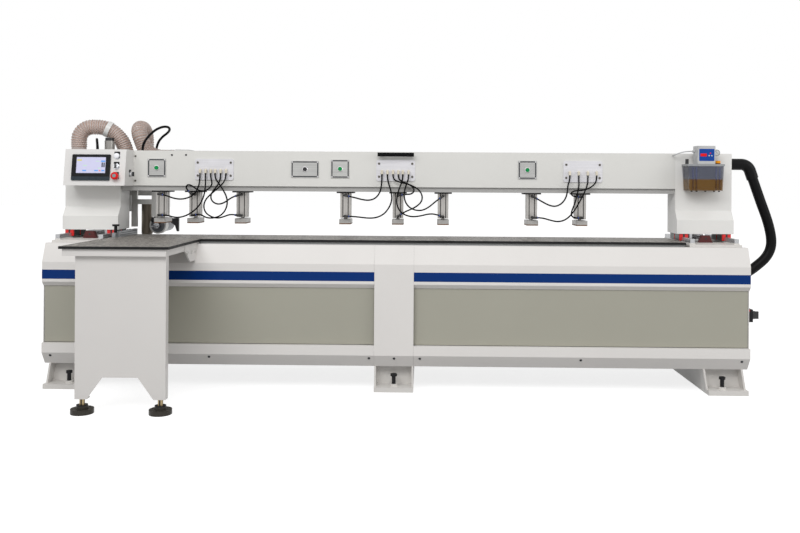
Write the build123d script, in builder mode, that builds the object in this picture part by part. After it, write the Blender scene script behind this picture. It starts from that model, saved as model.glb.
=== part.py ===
from build123d import *
import os
from math import cos, pi, radians, sin, tan

os.makedirs("parts", exist_ok=True)

# Panel side-drilling machine. Millimetres, +X along the bed, +Y to the back, +Z up.
# The origin is on the floor under the middle of the bed.

# Bed and its folded covers
bed_overhang = 143
bed_depth = 700
sheet = 3
seam = 0.5
cover_top_z = 745
cover_crease_z = 650
cover_hem_z = 549
cover_lean = 37
cover_lip = 38
hem_run = 18
hem_drop = 21
panel_recess = 22
panel_edge_inset = 6
strip_top_z = 237
strip_bend_z = 187
skirt_z = 126
skirt_run = 40
strip_flange = 50
centre_cover_width = 200
centre_cover_proud = 2
rear_cover_top_z = 690

# Bed frame
frame_top_z = 736
beam_depth = 80
front_beam_height = 120
rear_beam_height = 120
sole_height = 60
sole_depth = 60
bulkhead_thick = 20
bulkhead_pitch = 375
rail_bulkhead_inset = 130
end_bulkhead_gap = 3
mid_beam_front_y = 10
end_bulkhead_rear_y = 225

# Feet under the bed
foot_half_width = 100
foot_lean = 20
foot_front_inset = 32
foot_plate_height = 25
foot_plate_inset = 2
foot_wall = 9
foot_recess = 62
foot_boss_radius = 20
foot_boss_height = 12
end_foot_inset = 126
levelling_bolt_inset = 42
levelling_bolt_radius = 10
levelling_head_radius = 17
levelling_head_z = 75
levelling_head_height = 13
bolt_clearance = 0.3

# Worktable and its front extension
table_top_z = 768
table_thick = 12
table_half_length = 1496
table_rear_y = 90
edging = 6
bearer_inset = 6
bearer_depth = 42
extension_overhang = 11
extension_width = 503
extension_front_y = -831
apron_inset = 14
apron_front_inset = 9
apron_height = 32
apron_bar = 30
gusset_thick = 8
gusset_reach = 180
gusset_drop = 91
leg_left_inset = 66
leg_right_inset = 20
leg_setback = 22
leg_bottom_z = 68
leg_flange = 40
leg_notch_height = 100
leg_notch_inset = 55
leg_notch_slope = 72
leg_stud_inset = 28
leg_stud_radius = 12
leg_stud_top_z = 110
leg_pad_radius = 52
leg_pad_height = 22
leg_pad_neck_radius = 26
leg_pad_neck_height = 40

# Side fence on the table
fence_inset = 22
fence_width = 14
fence_front_y = -185
fence_rear_y = 86
fence_height = 32
fence_clamp_width = 18
fence_clamp_depth = 60
fence_clamp_front_y = -215
fence_clamp_height = 24
fence_knob_radius = 18
fence_knob_height = 10
fence_knob_top = 44
fence_neck_radius = 8.5
fence_flute_radius = 4
fence_flutes = 6
fence_stem_radius = 5

# Rails across the bed, slider blocks, screws
table_column_gap = 9
rail_gauge = 228
rail_bed_table_gap = 21
rail_bed_end_inset = 15
rail_bed_front_gap = 3
rail_bed_rear_y = 225
pad_width = 28
pad_height = 6
rail_width = 23
rail_height = 22
rail_front_y = -235
rail_rear_y = 225
rail_hole_pitch = 60
rail_hole_radius = 5
slide_clearance = 0.4
slider_width = 48
slider_body = 76
slider_seal = 4
slider_height = 40
slider_lift = 4
slider_pitch = 86
seal_gap = 0.1
screw_z = 778
screw_radius = 8
journal_radius = 6
running_fit = 0.05
front_bearing_y = -100
front_bearing_depth = 30
bearing_foot_width = 72
bearing_top_width = 44
bearing_height = 38
nut_front_y = 36
nut_depth = 44
nut_width = 60
rear_bearing_depth = 30
rear_bearing_width = 80
rear_bearing_height = 56
motor_side = 60
motor_length = 120
coupling_radius = 12
coupling_depth = 20

# Columns and beam
column_width = 304
column_wall = 8
column_front_y = -92
column_step_y = 35
column_step_z = 875
column_face_z = 926
column_rear_y = 83
column_top_z = 1233
column_round = 6
beam_bottom_z = 1015
beam_wall = 6
cover_sheet = 2
cover_bottom_z = 1042
cover_stand_off = 12

# Control box on the left end of the beam
box_end_inset = 48
box_width = 326
box_bottom_z = 1041
box_top_z = 1234
box_bottom_depth = 139
box_top_depth = 109
box_wall = 2
screen_width = 204
screen_height = 139
screen_left_margin = 42
screen_bottom_margin = 27
bezel_thick = 8
glass_width = 156
glass_height = 86
glass_drop = 12
glass_recess = 1.5
screen_body_margin = 12
screen_body_depth = 40
switch_right_margin = 48
switch_spacing = 55
estop_height_on_panel = 49
switch_hole_radius = 11.2
switch_fit = 0.4
switch_ring_radius = 15
switch_ring_height = 4
button_cap_height = 7
button_stem = 24
estop_radius = 20
estop_neck = 10
estop_cap = 14
selector_radius = 13
selector_height = 8
selector_grip_width = 8
selector_grip_height = 10
side_selector_y = -112
side_selector_z = 1103

# Plates on the beam cover
plate_thick = 4
green_plate_x = [-1307, -307, 708]
green_plate_side = 100
green_plate_z = 1139
black_plate_x = -498
black_plate_width = 151
black_plate_height = 91
black_plate_z = 1136
beam_button_radius = 11
beam_button_proud = 7
beam_button_depth = 8
beam_button_flange = 3
manifold_x = [-992, -5, 1007]
manifold_width = 210
manifold_height = 115
manifold_z = 1132
manifold_round = 12
handle_left_x = -102
handle_right_x = 94
handle_bottom_z = 1207
handle_height = 21
handle_depth = 14
handle_post_depth = 24
handle_post_inset = 20
handle_post_width = 14

# Press cylinders under the beam
press_x = [-1292, -1110, -850, -280, 7, 254, 738, 1004]
press_y = 10
press_plate_width = 93
press_plate_depth = 110
press_plate_thick = 8
press_body_width = 58
press_body_depth = 58
press_body_height = 135
press_groove = 5
press_bore_radius = 20
press_bore_floor = 12
press_bore_roof = 10
press_rod_radius = 10
press_piston_height = 18
press_piston_gap = 0.5
press_foot_width = 62
press_foot_depth = 132
press_foot_height = 28
press_foot_gap = 6
press_foot_round = 6
port_upper_drop = 19
port_lower_drop = 133
port_valve_radius = 7.5
port_valve_length = 40

# Air fittings and hoses
fitting_reach = 14
fitting_stub_radius = 5
fitting_ball_radius = 6.5
fitting_collar_radius = 6.5
fitting_z = 1129
fitting_drop = 17
port_collar_radius = 6
port_collar_length = 22
air_hose_diameter = 8

# Central lubricator on the right column
lubricator_offset = 21
tank_top_width = 187
tank_base_width = 173
tank_height = 130
tank_depth = 105
tank_bottom_z = 1034
tank_wall = 4
lid_width = 195
lid_height = 11
pump_left = 44
pump_right = 50
pump_height = 96
pump_depth = 102
gauge_radius = 17
gauge_length = 20
gauge_z = 1236
cap_offset = 76
cap_radius = 16
cap_height = 18
plug_offset = 85
plug_radius = 9
plug_height = 27
oil_outlet_z = 1243
oil_outlet_radius = 6
oil_outlet_length = 14
oil_tube_diameter = 6

# Flexible conduit at the right end
conduit_diameter = 53
gland_radius = 31
gland_flange_radius = 39
gland_flange = 10
upper_gland_z = 1178
upper_gland_run = 106
upper_gland_turn = (27, -78)
lower_gland_z = 580
lower_gland_length = 62

# Main switch at the right end of the bed
switch_front_inset = 73
switch_z = 399
switch_body_side = 64
switch_body_depth = 28
switch_knob_radius = 21
switch_knob_depth = 20
switch_grip_width = 12
switch_grip_depth = 18
switch_pin_radius = 6
switch_pin_depth = 12

# Rails, rack and carriage behind the beam
x_rail_z = [1050, 1200]
x_rail_width = 23
x_rail_height = 20
x_rail_end_inset = 9
x_block_length = 90
x_block_width = 40
x_block_lift = 5
x_block_x = [-1735, -1260]
carriage_left_x = -1870
carriage_right_x = -1190
carriage_front_y = 123
carriage_thick = 20
carriage_bottom_z = 1020
carriage_top_z = 1225
gear_module = 3
pinion_teeth = 18
gear_backlash = 0.5
pinion_x = -1330
pinion_z = 1123
pinion_width = 18
pinion_shaft_radius = 8
rack_left_x = -1440
rack_right_x = 1430
rack_height = 25
rack_depth = 25
x_motor_side = 60
x_motor_length = 187

# Vertical slide and drilling head
z_rail_x = [-1505, -1421]
z_rail_width = 15
z_rail_depth = 13
z_rail_bottom_z = 1025
z_rail_top_z = 1220
z_block_width = 34
z_block_lift = 4
z_block_depth = 28
z_block_bottom_z = 1070
z_block_height = 90
head_left_x = -1525
head_right_x = -1384
head_thick = 16
head_bottom_z = 805
head_top_z = 1180
head_left_bar = 33
head_right_bar = 25
cross_bar_z = 934
cross_bar_height = 28
upper_window_height = 50
right_bar_z = 862
arm_end_x = -1680
arm_z = 985
arm_height = 20
arm_depth = 20
lift_rod_radius = 8
lift_rod_top_z = 1180
spindle_x = -1389
spindle_z = 810
spindle_radius = 40
clamp_radius = 48
clamp_front_y = 222
clamp_depth = 48
clamp_lug_width = 40
clamp_lug_height = 12
spindle_front_y = 224
spindle_length = 196
collet_radius = 17
collet_length = 26
bit_radius = 4
bit_length = 76
spindle_bore_depth = 40
spindle_bore_radius = 12
feed_motor_x = -1478
feed_motor_y = 305
feed_motor_radius = 32
feed_motor_bottom_z = 755
feed_plate_height = 12
feed_plate_margin = 5
probe_radius = 15
probe_y = 203
probe_left_x = -1417
probe_length = 67
probe_z = 843
probe_saddle = 20
probe_arm_length = 46
probe_arm_height = 15
probe_blade_width = 44
probe_blade_tip = 11
probe_blade_top_z = 854
probe_blade_bottom_z = 778
probe_blade_depth = 16

# Balance cylinder on the carriage
balance_x = -1656
balance_y = 181
balance_radius = 27.5
balance_bottom_z = 1062
balance_top_z = 1296
balance_cap_height = 17
balance_bore_top_z = 1270
balance_bracket = 40

# Dust extraction on the carriage
dust_hose_diameter = 89
dust_rib_depth = 3
dust_wall = 4
dust_rib_pitch = 12
spigot_wall = 3
spigot_height = 30
plenum_left_x = -1902
plenum_right_x = -1745
plenum_bottom_z = 1060
plenum_top_z = 1140
duct_front_y = 362
duct_rear_y = 470
duct_right_x = -1440
duct_bottom_z = 980
duct_top_z = 1110
riser_x = -1595
riser_y = 276
riser_side = 90
riser_bottom_z = 890
riser_top_z = 1100
riser_bracket_left = -1600
riser_bracket_right = -1560
riser_bracket_height = 38
side_box_left_x = -1262
side_box_right_x = -1196
side_box_rear_y = 290
side_box_bottom_z = 1158
side_box_top_z = 1247
outlet_radius = 60
outlet_x = -1640
outlet_z = 1045
outlet_length = 30
dust_left_x = -1852
dust_left_y = 228
dust_arch_z = 1378
dust_side_y = 238
dust_side_z = 1207
dust_rise_x = -1522
dust_drop_y = 416
cable_diameter = 14
cable_gland_radius = 11
cable_gland_height = 15
cable_y = 133
cable_a_x = -1708
cable_b_x = -1450
cable_a_end = (-1764, 285)
cable_b_end = (-1460, 400)

# Places that follow from the values above
column_centre_x = table_half_length + table_column_gap + column_width / 2
half_length = column_centre_x + bed_overhang
front_y = -bed_depth / 2
rear_y = bed_depth / 2
table_front_y = front_y + cover_lean + cover_lip
bed_top_z = table_top_z - table_thick
rail_bottom_z = bed_top_z + pad_height
rail_top_z = rail_bottom_z + rail_height
column_bottom_z = rail_bottom_z + slider_height
column_inner_x = column_centre_x - column_width / 2
column_outer_x = column_centre_x + column_width / 2
face_y = column_front_y + column_step_y
beam_front_y = face_y + cover_stand_off
rail_x = [column_centre_x - rail_gauge / 2, column_centre_x + rail_gauge / 2]
slider_mid_y = (column_front_y + column_rear_y) / 2
panel_front_y = front_y + panel_recess
carriage_rear_y = carriage_front_y + carriage_thick
head_front_y = carriage_rear_y + z_block_depth
head_rear_y = head_front_y + head_thick
fitting_y = face_y - plate_thick - 2 - fitting_reach
press_top_z = beam_bottom_z - press_plate_thick
press_bottom_z = press_top_z - press_body_height
press_front_y = press_y - press_body_depth / 2
port_upper_z = beam_bottom_z - port_upper_drop
port_lower_z = beam_bottom_z - port_lower_drop
rail_bulkhead_x = column_centre_x - rail_bulkhead_inset
rail_bed_half_gap = table_half_length + rail_bed_table_gap
rail_bed_end_x = half_length - rail_bed_end_inset
rail_bed_front_y = table_front_y + rail_bed_front_gap
bearer_half_length = table_half_length - bearer_inset
end_foot_x = half_length - end_foot_inset
foot_front_y = front_y + foot_front_inset
foot_plate_front_y = front_y + foot_plate_inset
levelling_bolt_y = front_y + levelling_bolt_inset
switch_y = front_y + switch_front_inset
extension_left_x = -table_half_length - extension_overhang
extension_right_x = extension_left_x + extension_width
leg_left_x = extension_left_x + leg_left_inset
apron_front_y = extension_front_y + apron_front_inset
leg_front_y = apron_front_y + leg_setback
leg_right_x = extension_right_x - leg_right_inset
fence_left_x = -table_half_length + fence_inset
box_left_x = box_end_inset - column_outer_x
box_right_x = box_left_x + box_width
lubricator_x = column_centre_x - lubricator_offset
cap_x = lubricator_x + cap_offset
plug_x = lubricator_x - plug_offset
x_rail_half_length = column_outer_x - x_rail_end_inset
panel_lean = Vector(0, box_bottom_depth - box_top_depth, box_top_z - box_bottom_z)


def block(x, y, z, mode=Mode.ADD):
    """A rectangular block between two values on each axis."""
    with Locations(((x[0] + x[1]) / 2, (y[0] + y[1]) / 2, (z[0] + z[1]) / 2)):
        Box(x[1] - x[0], y[1] - y[0], z[1] - z[0], mode=mode)


def rod(start, direction, length, radius, mode=Mode.ADD):
    """A round bar that starts at a point and runs along a direction."""
    with Locations(Plane(origin=start, z_dir=direction)):
        Cylinder(radius, length, align=(Align.CENTER, Align.CENTER, Align.MIN), mode=mode)


def prism(points, plane, amount, mode=Mode.ADD):
    """A straight-sided outline on a plane, given a thickness along the plane's normal."""
    with BuildSketch(plane) as outline:
        with BuildLine():
            Polyline(*points, close=True)
        make_face()
    extrude(outline.sketch, amount=amount, mode=mode)


def inset_line(points, distance):
    """The points of an open outline moved to the right of its direction, corners mitred."""
    moved = []
    for index, point in enumerate(points):
        here = Vector(*point)
        before = Vector(*points[max(index - 1, 0)])
        after = Vector(*points[min(index + 1, len(points) - 1)])
        arriving = (here - before) if index > 0 else (after - here)
        leaving = (after - here) if index < len(points) - 1 else arriving
        side_in = Vector(arriving.Y, -arriving.X).normalized()
        side_out = Vector(leaving.Y, -leaving.X).normalized()
        mitre = (side_in + side_out) * (distance / (1 + side_in.dot(side_out)))
        moved.append((here.X + mitre.X, here.Y + mitre.Y))
    return moved


def folded_sheet(points, start_x, width):
    """A sheet folded along an outline in the YZ plane, its thickness to the right of the line."""
    prism(points + inset_line(points, sheet)[::-1], Plane.YZ.offset(start_x), width)


def bend_radii(points):
    """For each inner point of a route, the largest arc that its two runs leave room for."""
    radii = []
    for before, here, after in zip(points, points[1:], points[2:]):
        arriving = Vector(*here) - Vector(*before)
        leaving = Vector(*after) - Vector(*here)
        turn = radians(arriving.get_angle(leaving))
        radii.append(0.45 * min(arriving.length, leaving.length) / tan(turn / 2))
    return radii


def tube(name, points, diameter):
    """A round tube along straight runs joined by tangent arcs."""
    radii = bend_radii(points)
    with BuildLine(mode=Mode.PRIVATE) as route:
        FilletPolyline(*points, radius=radii)
    path = route.wire()
    with BuildSketch(Plane(origin=points[0], z_dir=Vector(*points[1]) - Vector(*points[0]))) as section:
        Circle(diameter / 2)
    sweep(section.sketch, path=path)
    print(name, "length", round(path.length, 1), "least radius", round(min(radii), 1))
    return path.length


def ribbed_hose(name, points, steady):
    """A dust hose with a bore: ribs along straight runs and tangent arcs, plain at both ends."""
    with BuildLine(mode=Mode.PRIVATE) as route:
        FilletPolyline(*points, radius=bend_radii(points))
    path = route.wire()
    crest = dust_hose_diameter / 2
    valley = crest - dust_rib_depth
    cuff = dust_hose_diameter
    ribs = int((path.length - 2 * cuff) / dust_rib_pitch)
    pitch = (path.length - 2 * cuff) / ribs
    stations = [(0, valley)]
    for rib in range(ribs):
        foot = cuff + rib * pitch
        stations += [(foot, valley), (foot + 0.25 * pitch, crest)]
        stations += [(foot + 0.55 * pitch, crest), (foot + 0.8 * pitch, valley)]
    stations += [(path.length - cuff, valley), (path.length, valley)]

    def section_plane(distance):
        along = path.tangent_at(distance, position_mode=PositionMode.LENGTH)
        across = Vector(*steady) - along * along.dot(Vector(*steady))
        where = path.position_at(distance, position_mode=PositionMode.LENGTH)
        return Plane(origin=where, x_dir=across, z_dir=along)

    with BuildPart() as hose:
        for distance, radius in stations:
            with BuildSketch(section_plane(distance)):
                Circle(radius)
        loft(ruled=True)
        with BuildSketch(section_plane(0)):
            Circle(valley - dust_wall)
        sweep(path=path, mode=Mode.SUBTRACT)
    tightest = round(min(bend_radii(points)), 1)
    print(name, "length", round(path.length, 1), "ribs", ribs, "least radius", tightest)
    return hose.part


def save(piece, label):
    """Name a finished piece and write it out."""
    piece.part.label = label
    export_step(piece.part, f"parts/{label}.step")


# Bed frame: bulkheads across the bed on two sole bars, with beams along the top
front_beam_y = table_front_y - cover_lip + 3
ledge_z = cover_top_z - sheet
inner_bulkheads = [bulkhead_pitch * step for step in range(4)]
end_bulkhead_x = half_length - end_bulkhead_gap - bulkhead_thick / 2
panel_back_y = panel_front_y + sheet
strip_inner_y = front_y + strip_flange


def bulkhead(centre_x, top_rear_y):
    outline = [
        (strip_inner_y, skirt_z),
        (strip_inner_y, strip_top_z + sheet),
        (panel_back_y, strip_top_z + sheet),
        (panel_back_y, cover_hem_z - sheet),
        (front_beam_y, cover_hem_z - sheet),
        (front_beam_y, frame_top_z),
        (top_rear_y, frame_top_z),
        (top_rear_y, rear_cover_top_z),
        (rear_y - sheet, rear_cover_top_z),
        (rear_y - sheet, skirt_z),
    ]
    prism(outline, Plane.YZ.offset(centre_x - bulkhead_thick / 2), bulkhead_thick)


with BuildPart() as bed_frame:
    frame_x = (-end_bulkhead_x, end_bulkhead_x)
    block(frame_x, (front_beam_y, front_beam_y + beam_depth), (frame_top_z - front_beam_height, frame_top_z))
    block(frame_x, (mid_beam_front_y, table_rear_y), (frame_top_z - front_beam_height, frame_top_z))
    rear_beam_z = (rear_cover_top_z - rear_beam_height, rear_cover_top_z)
    block(frame_x, (rear_y - sheet - beam_depth, rear_y - sheet), rear_beam_z)
    block(frame_x, (strip_inner_y, strip_inner_y + sole_depth), (skirt_z, skirt_z + sole_height))
    block(frame_x, (rear_y - sheet - sole_depth, rear_y - sheet), (skirt_z, skirt_z + sole_height))
    for step in inner_bulkheads:
        bulkhead(step, table_rear_y)
        if step > 0:
            bulkhead(-step, table_rear_y)
    for side in (-1, 1):
        bulkhead(side * rail_bulkhead_x, table_rear_y)
        bulkhead(side * end_bulkhead_x, end_bulkhead_rear_y)
    block(frame_x, (front_beam_y, table_front_y), (frame_top_z, ledge_z))
    bearer_x = (-bearer_half_length, bearer_half_length)
    bearer_z = (frame_top_z, bed_top_z)
    block(bearer_x, (rail_bed_front_y, rail_bed_front_y + bearer_depth), bearer_z)
    block(bearer_x, (table_rear_y - bearer_depth, table_rear_y), bearer_z)
save(bed_frame, "bed_frame")

# Two machined beds under the rails, with a raised pad below each rail
with BuildPart() as rail_beds:
    for side in (-1, 1):
        bed_x = sorted((side * rail_bed_half_gap, side * rail_bed_end_x))
        block(bed_x, (rail_bed_front_y, rail_bed_rear_y), (frame_top_z, bed_top_z))
        for x in rail_x:
            pad_x = (side * x - pad_width / 2, side * x + pad_width / 2)
            block(pad_x, (rail_front_y, rail_rear_y), (bed_top_z, rail_bottom_z))
save(rail_beds, "rail_beds")

# Folded front covers: upper and lower on each side, and a slightly proud one in the middle
upper_fold = [
    (front_y + hem_run, cover_hem_z - hem_drop),
    (front_y, cover_hem_z),
    (front_y, cover_crease_z),
    (front_y + cover_lean, cover_top_z),
    (table_front_y, cover_top_z),
]
lower_fold = [
    (front_y + skirt_run, skirt_z),
    (front_y, strip_bend_z),
    (front_y, strip_top_z),
    (strip_inner_y, strip_top_z),
]
centre_front_y = front_y - centre_cover_proud
centre_fold = [
    (centre_front_y + skirt_run, skirt_z),
    (centre_front_y, strip_bend_z),
    (centre_front_y, cover_crease_z),
    (front_y + cover_lean, cover_top_z),
    (table_front_y, cover_top_z),
]
side_cover_width = half_length - centre_cover_width / 2 - seam
with BuildPart() as front_covers:
    for start_x in (-half_length, centre_cover_width / 2 + seam):
        folded_sheet(upper_fold, start_x, side_cover_width)
        folded_sheet(lower_fold, start_x, side_cover_width)
    folded_sheet(centre_fold, -centre_cover_width / 2, centre_cover_width)
save(front_covers, "front_covers")

# Flat panels set back between the upper and lower covers
with BuildPart() as front_panels:
    for side in (-1, 1):
        panel_x = sorted((side * centre_cover_width / 2, side * (half_length - panel_edge_inset)))
        block(panel_x, (panel_front_y, panel_back_y), (strip_top_z + sheet, cover_hem_z - sheet))
save(front_panels, "front_panels")

# End covers, cut to the folded profile, and flat rear covers
end_outline = inset_line(lower_fold, sheet + seam)[:3]
end_outline.append((strip_inner_y + seam, strip_top_z - sheet - seam))
end_outline.append((strip_inner_y + seam, strip_top_z + seam))
end_outline.append((front_y + hem_run + seam, strip_top_z + seam))
end_outline += inset_line(upper_fold, sheet + seam)
end_outline.append((table_front_y + seam, frame_top_z))
end_outline.append((end_bulkhead_rear_y, frame_top_z))
end_outline.append((end_bulkhead_rear_y, rear_cover_top_z))
end_outline.append((rear_y - sheet, rear_cover_top_z))
end_outline.append((rear_y - sheet, skirt_z + seam))
with BuildPart() as outer_covers:
    for start_x in (-half_length, half_length - sheet):
        prism(end_outline, Plane.YZ.offset(start_x), sheet)
    for side in (-1, 1):
        cover_x = sorted((side * seam, side * half_length))
        block(cover_x, (rear_y - sheet + seam / 10, rear_y), (skirt_z, rear_cover_top_z))
save(outer_covers, "outer_covers")

# Three foot frames across the bed, the outer two leaning outwards, on thick sole plates
foot_x = [-end_foot_x, 0, end_foot_x]
foot_shift = [-foot_lean, 0, foot_lean]
bolt_places = [(x, y) for x in foot_x for y in (levelling_bolt_y, -levelling_bolt_y)]
with BuildPart() as foot_frames:
    for x, shift in zip(foot_x, foot_shift):
        outline = [
            (x + shift - foot_half_width, 0),
            (x + shift + foot_half_width, 0),
            (x + foot_half_width, skirt_z),
            (x - foot_half_width, skirt_z),
        ]
        prism(outline, Plane.XZ.offset(foot_front_y), -2 * foot_front_y)
        recess = [
            (x + shift - foot_half_width + foot_wall, 0),
            (x + shift + foot_half_width - foot_wall, 0),
            (x + foot_half_width - foot_wall, skirt_z),
            (x - foot_half_width + foot_wall, skirt_z),
        ]
        for y in (foot_front_y, -foot_front_y - foot_recess):
            prism(recess, Plane.XZ.offset(-y - foot_recess), foot_recess, mode=Mode.SUBTRACT)
        plate_x = (x + shift - foot_half_width, x + shift + foot_half_width)
        block(plate_x, (foot_plate_front_y, -foot_plate_front_y), (0, foot_plate_height))
    for x, y in bolt_places:
        rod((x, y, foot_plate_height), (0, 0, 1), foot_boss_height, foot_boss_radius)
        bolt_hole = levelling_bolt_radius + bolt_clearance
        rod((x, y, 0), (0, 0, 1), skirt_z, bolt_hole, mode=Mode.SUBTRACT)
save(foot_frames, "foot_frames")

# Levelling bolts under the bed, and studs on round pads under the extension leg
stud_x = [leg_left_x + leg_stud_inset, leg_right_x - leg_stud_inset]
stud_y = leg_front_y + leg_flange / 2
with BuildPart() as levelling_feet:
    for x, y in bolt_places:
        rod((x, y, 0), (0, 0, 1), levelling_head_z + levelling_head_height, levelling_bolt_radius)
        with BuildSketch(Plane.XY.offset(levelling_head_z)):
            with Locations((x, y)):
                RegularPolygon(levelling_head_radius, 6)
        extrude(amount=levelling_head_height)
    for x in stud_x:
        rod((x, stud_y, 0), (0, 0, 1), leg_pad_height, leg_pad_radius)
        rod((x, stud_y, 0), (0, 0, 1), leg_pad_neck_height, leg_pad_neck_radius)
        rod((x, stud_y, 0), (0, 0, 1), leg_stud_top_z, leg_stud_radius)
save(levelling_feet, "levelling_feet")

# Worktable top, extension top and the black edging along their front edges
with BuildPart() as worktable_top:
    block((-table_half_length, table_half_length), (table_front_y, table_rear_y), (bed_top_z, table_top_z))
save(worktable_top, "worktable_top")

extension_x = (extension_left_x + edging, extension_right_x - edging)
extension_y = (extension_front_y + edging, table_front_y)
with BuildPart() as extension_top:
    block(extension_x, extension_y, (bed_top_z, table_top_z))
save(extension_top, "extension_top")

with BuildPart() as table_edges:
    block((extension_right_x + seam, table_half_length), (table_front_y - edging, table_front_y),
          (bed_top_z, table_top_z))
    edge_y = (extension_front_y, table_front_y - seam)
    block((extension_left_x, extension_right_x), edge_y, (bed_top_z, table_top_z))
    block(extension_x, extension_y, (bed_top_z, table_top_z), mode=Mode.SUBTRACT)
save(table_edges, "table_edges")

# Apron frame, gusset brackets and folded leg that carry the extension
apron_x = (extension_left_x + apron_inset, extension_right_x - apron_inset)
apron_rear_y = front_y - centre_cover_proud - 4
apron_z = (bed_top_z - apron_height, bed_top_z)
gusset_outline = [
    (table_front_y - edging, bed_top_z),
    (table_front_y - edging, cover_top_z + seam),
    (front_y + cover_lean - seam, cover_top_z + seam),
    (front_y - seam, cover_crease_z),
    (front_y - seam, bed_top_z - gusset_drop),
    (front_y - gusset_reach / 2, bed_top_z - gusset_drop),
    (front_y - gusset_reach, bed_top_z - apron_height),
    (front_y - gusset_reach, bed_top_z),
]
leg_outline = [
    (leg_left_x, apron_z[0]),
    (leg_left_x, leg_bottom_z),
    (leg_left_x + leg_notch_inset, leg_bottom_z),
    (leg_left_x + leg_notch_inset + leg_notch_slope, leg_bottom_z + leg_notch_height),
    (leg_right_x - leg_notch_inset - leg_notch_slope, leg_bottom_z + leg_notch_height),
    (leg_right_x - leg_notch_inset, leg_bottom_z),
    (leg_right_x, leg_bottom_z),
    (leg_right_x, apron_z[0]),
]
with BuildPart() as extension_support:
    apron_y = (apron_front_y, apron_rear_y)
    block(apron_x, apron_y, apron_z)
    hollow_x = (apron_x[0] + apron_bar, apron_x[1] - apron_bar)
    hollow_y = (apron_y[0] + apron_bar, apron_y[1] - apron_bar)
    block(hollow_x, hollow_y, apron_z, mode=Mode.SUBTRACT)
    for x in (apron_x[0], apron_x[1]):
        prism(gusset_outline, Plane.YZ.offset(x - gusset_thick / 2), gusset_thick)
    prism(leg_outline, Plane.XZ.offset(-leg_front_y - sheet), sheet)
    for x in (leg_left_x, leg_right_x - sheet):
        block((x, x + sheet), (leg_front_y, leg_front_y + leg_flange), (leg_bottom_z, apron_z[0]))
    for x in ((leg_left_x, leg_left_x + leg_notch_inset), (leg_right_x - leg_notch_inset, leg_right_x)):
        block(x, (leg_front_y, leg_front_y + leg_flange), (leg_bottom_z, leg_bottom_z + 2 * sheet))
    for x in stud_x:
        rod((x, stud_y, 0), (0, 0, 1), leg_stud_top_z, leg_stud_radius + bolt_clearance, mode=Mode.SUBTRACT)
save(extension_support, "extension_support")

# Side fence: a slotted bar along the table's left end, held by a clamp block
fence_x = (fence_left_x, fence_left_x + fence_width)
clamp_x = (fence_left_x - fence_clamp_width, fence_left_x)
clamp_y = (fence_clamp_front_y, fence_clamp_front_y + fence_clamp_depth)
clamp_top_z = table_top_z + fence_clamp_height
knob_place = ((clamp_x[0] + clamp_x[1]) / 2, (clamp_y[0] + clamp_y[1]) / 2)
fence_slot_depth = 8
with BuildPart() as side_fence:
    block(fence_x, (fence_front_y, fence_rear_y), (table_top_z, table_top_z + fence_height))
    slot_x = (fence_left_x + fence_width / 3, fence_left_x + 2 * fence_width / 3)
    slot_z = (table_top_z + fence_height - fence_slot_depth, table_top_z + fence_height)
    block(slot_x, (fence_front_y, fence_rear_y), slot_z, mode=Mode.SUBTRACT)
    block(clamp_x, clamp_y, (table_top_z, clamp_top_z))
    stem_hole = fence_stem_radius + running_fit
    rod((*knob_place, table_top_z), (0, 0, 1), fence_clamp_height, stem_hole, mode=Mode.SUBTRACT)
save(side_fence, "side_fence")

# Fluted knob that tightens the fence clamp
knob_top_z = clamp_top_z + fence_knob_top
knob_head_z = knob_top_z - fence_knob_height
with BuildPart() as fence_knob:
    rod((*knob_place, table_top_z + 1), (0, 0, 1), knob_head_z - table_top_z, fence_stem_radius)
    rod((*knob_place, clamp_top_z + seam), (0, 0, 1), knob_head_z - clamp_top_z - seam, fence_neck_radius)
    rod((*knob_place, knob_head_z), (0, 0, 1), fence_knob_height, fence_knob_radius)
    for number in range(fence_flutes):
        turn = radians(360 / fence_flutes * number)
        flute_x = knob_place[0] + (fence_knob_radius + fence_flute_radius / 2) * cos(turn)
        flute_y = knob_place[1] + (fence_knob_radius + fence_flute_radius / 2) * sin(turn)
        flute = (flute_x, flute_y, knob_head_z)
        rod(flute, (0, 0, 1), fence_knob_height, fence_flute_radius, mode=Mode.SUBTRACT)
save(fence_knob, "fence_knob")

# Four profile rails across the bed, with counterbored fixing holes
rail_holes = int((rail_rear_y - rail_front_y) / rail_hole_pitch)
rail_hole_start = (rail_front_y + rail_rear_y) / 2 - (rail_holes - 1) * rail_hole_pitch / 2
with BuildPart() as y_guide_rails:
    for x in (-rail_x[1], -rail_x[0], rail_x[0], rail_x[1]):
        rail_sides = (x - rail_width / 2, x + rail_width / 2)
        block(rail_sides, (rail_front_y, rail_rear_y), (rail_bottom_z, rail_top_z))
        for number in range(rail_holes):
            hole_y = rail_hole_start + number * rail_hole_pitch
            hole_floor = (x, hole_y, rail_top_z - rail_height / 2)
            rod(hole_floor, (0, 0, 1), rail_height, rail_hole_radius, mode=Mode.SUBTRACT)
save(y_guide_rails, "y_guide_rails")

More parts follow.
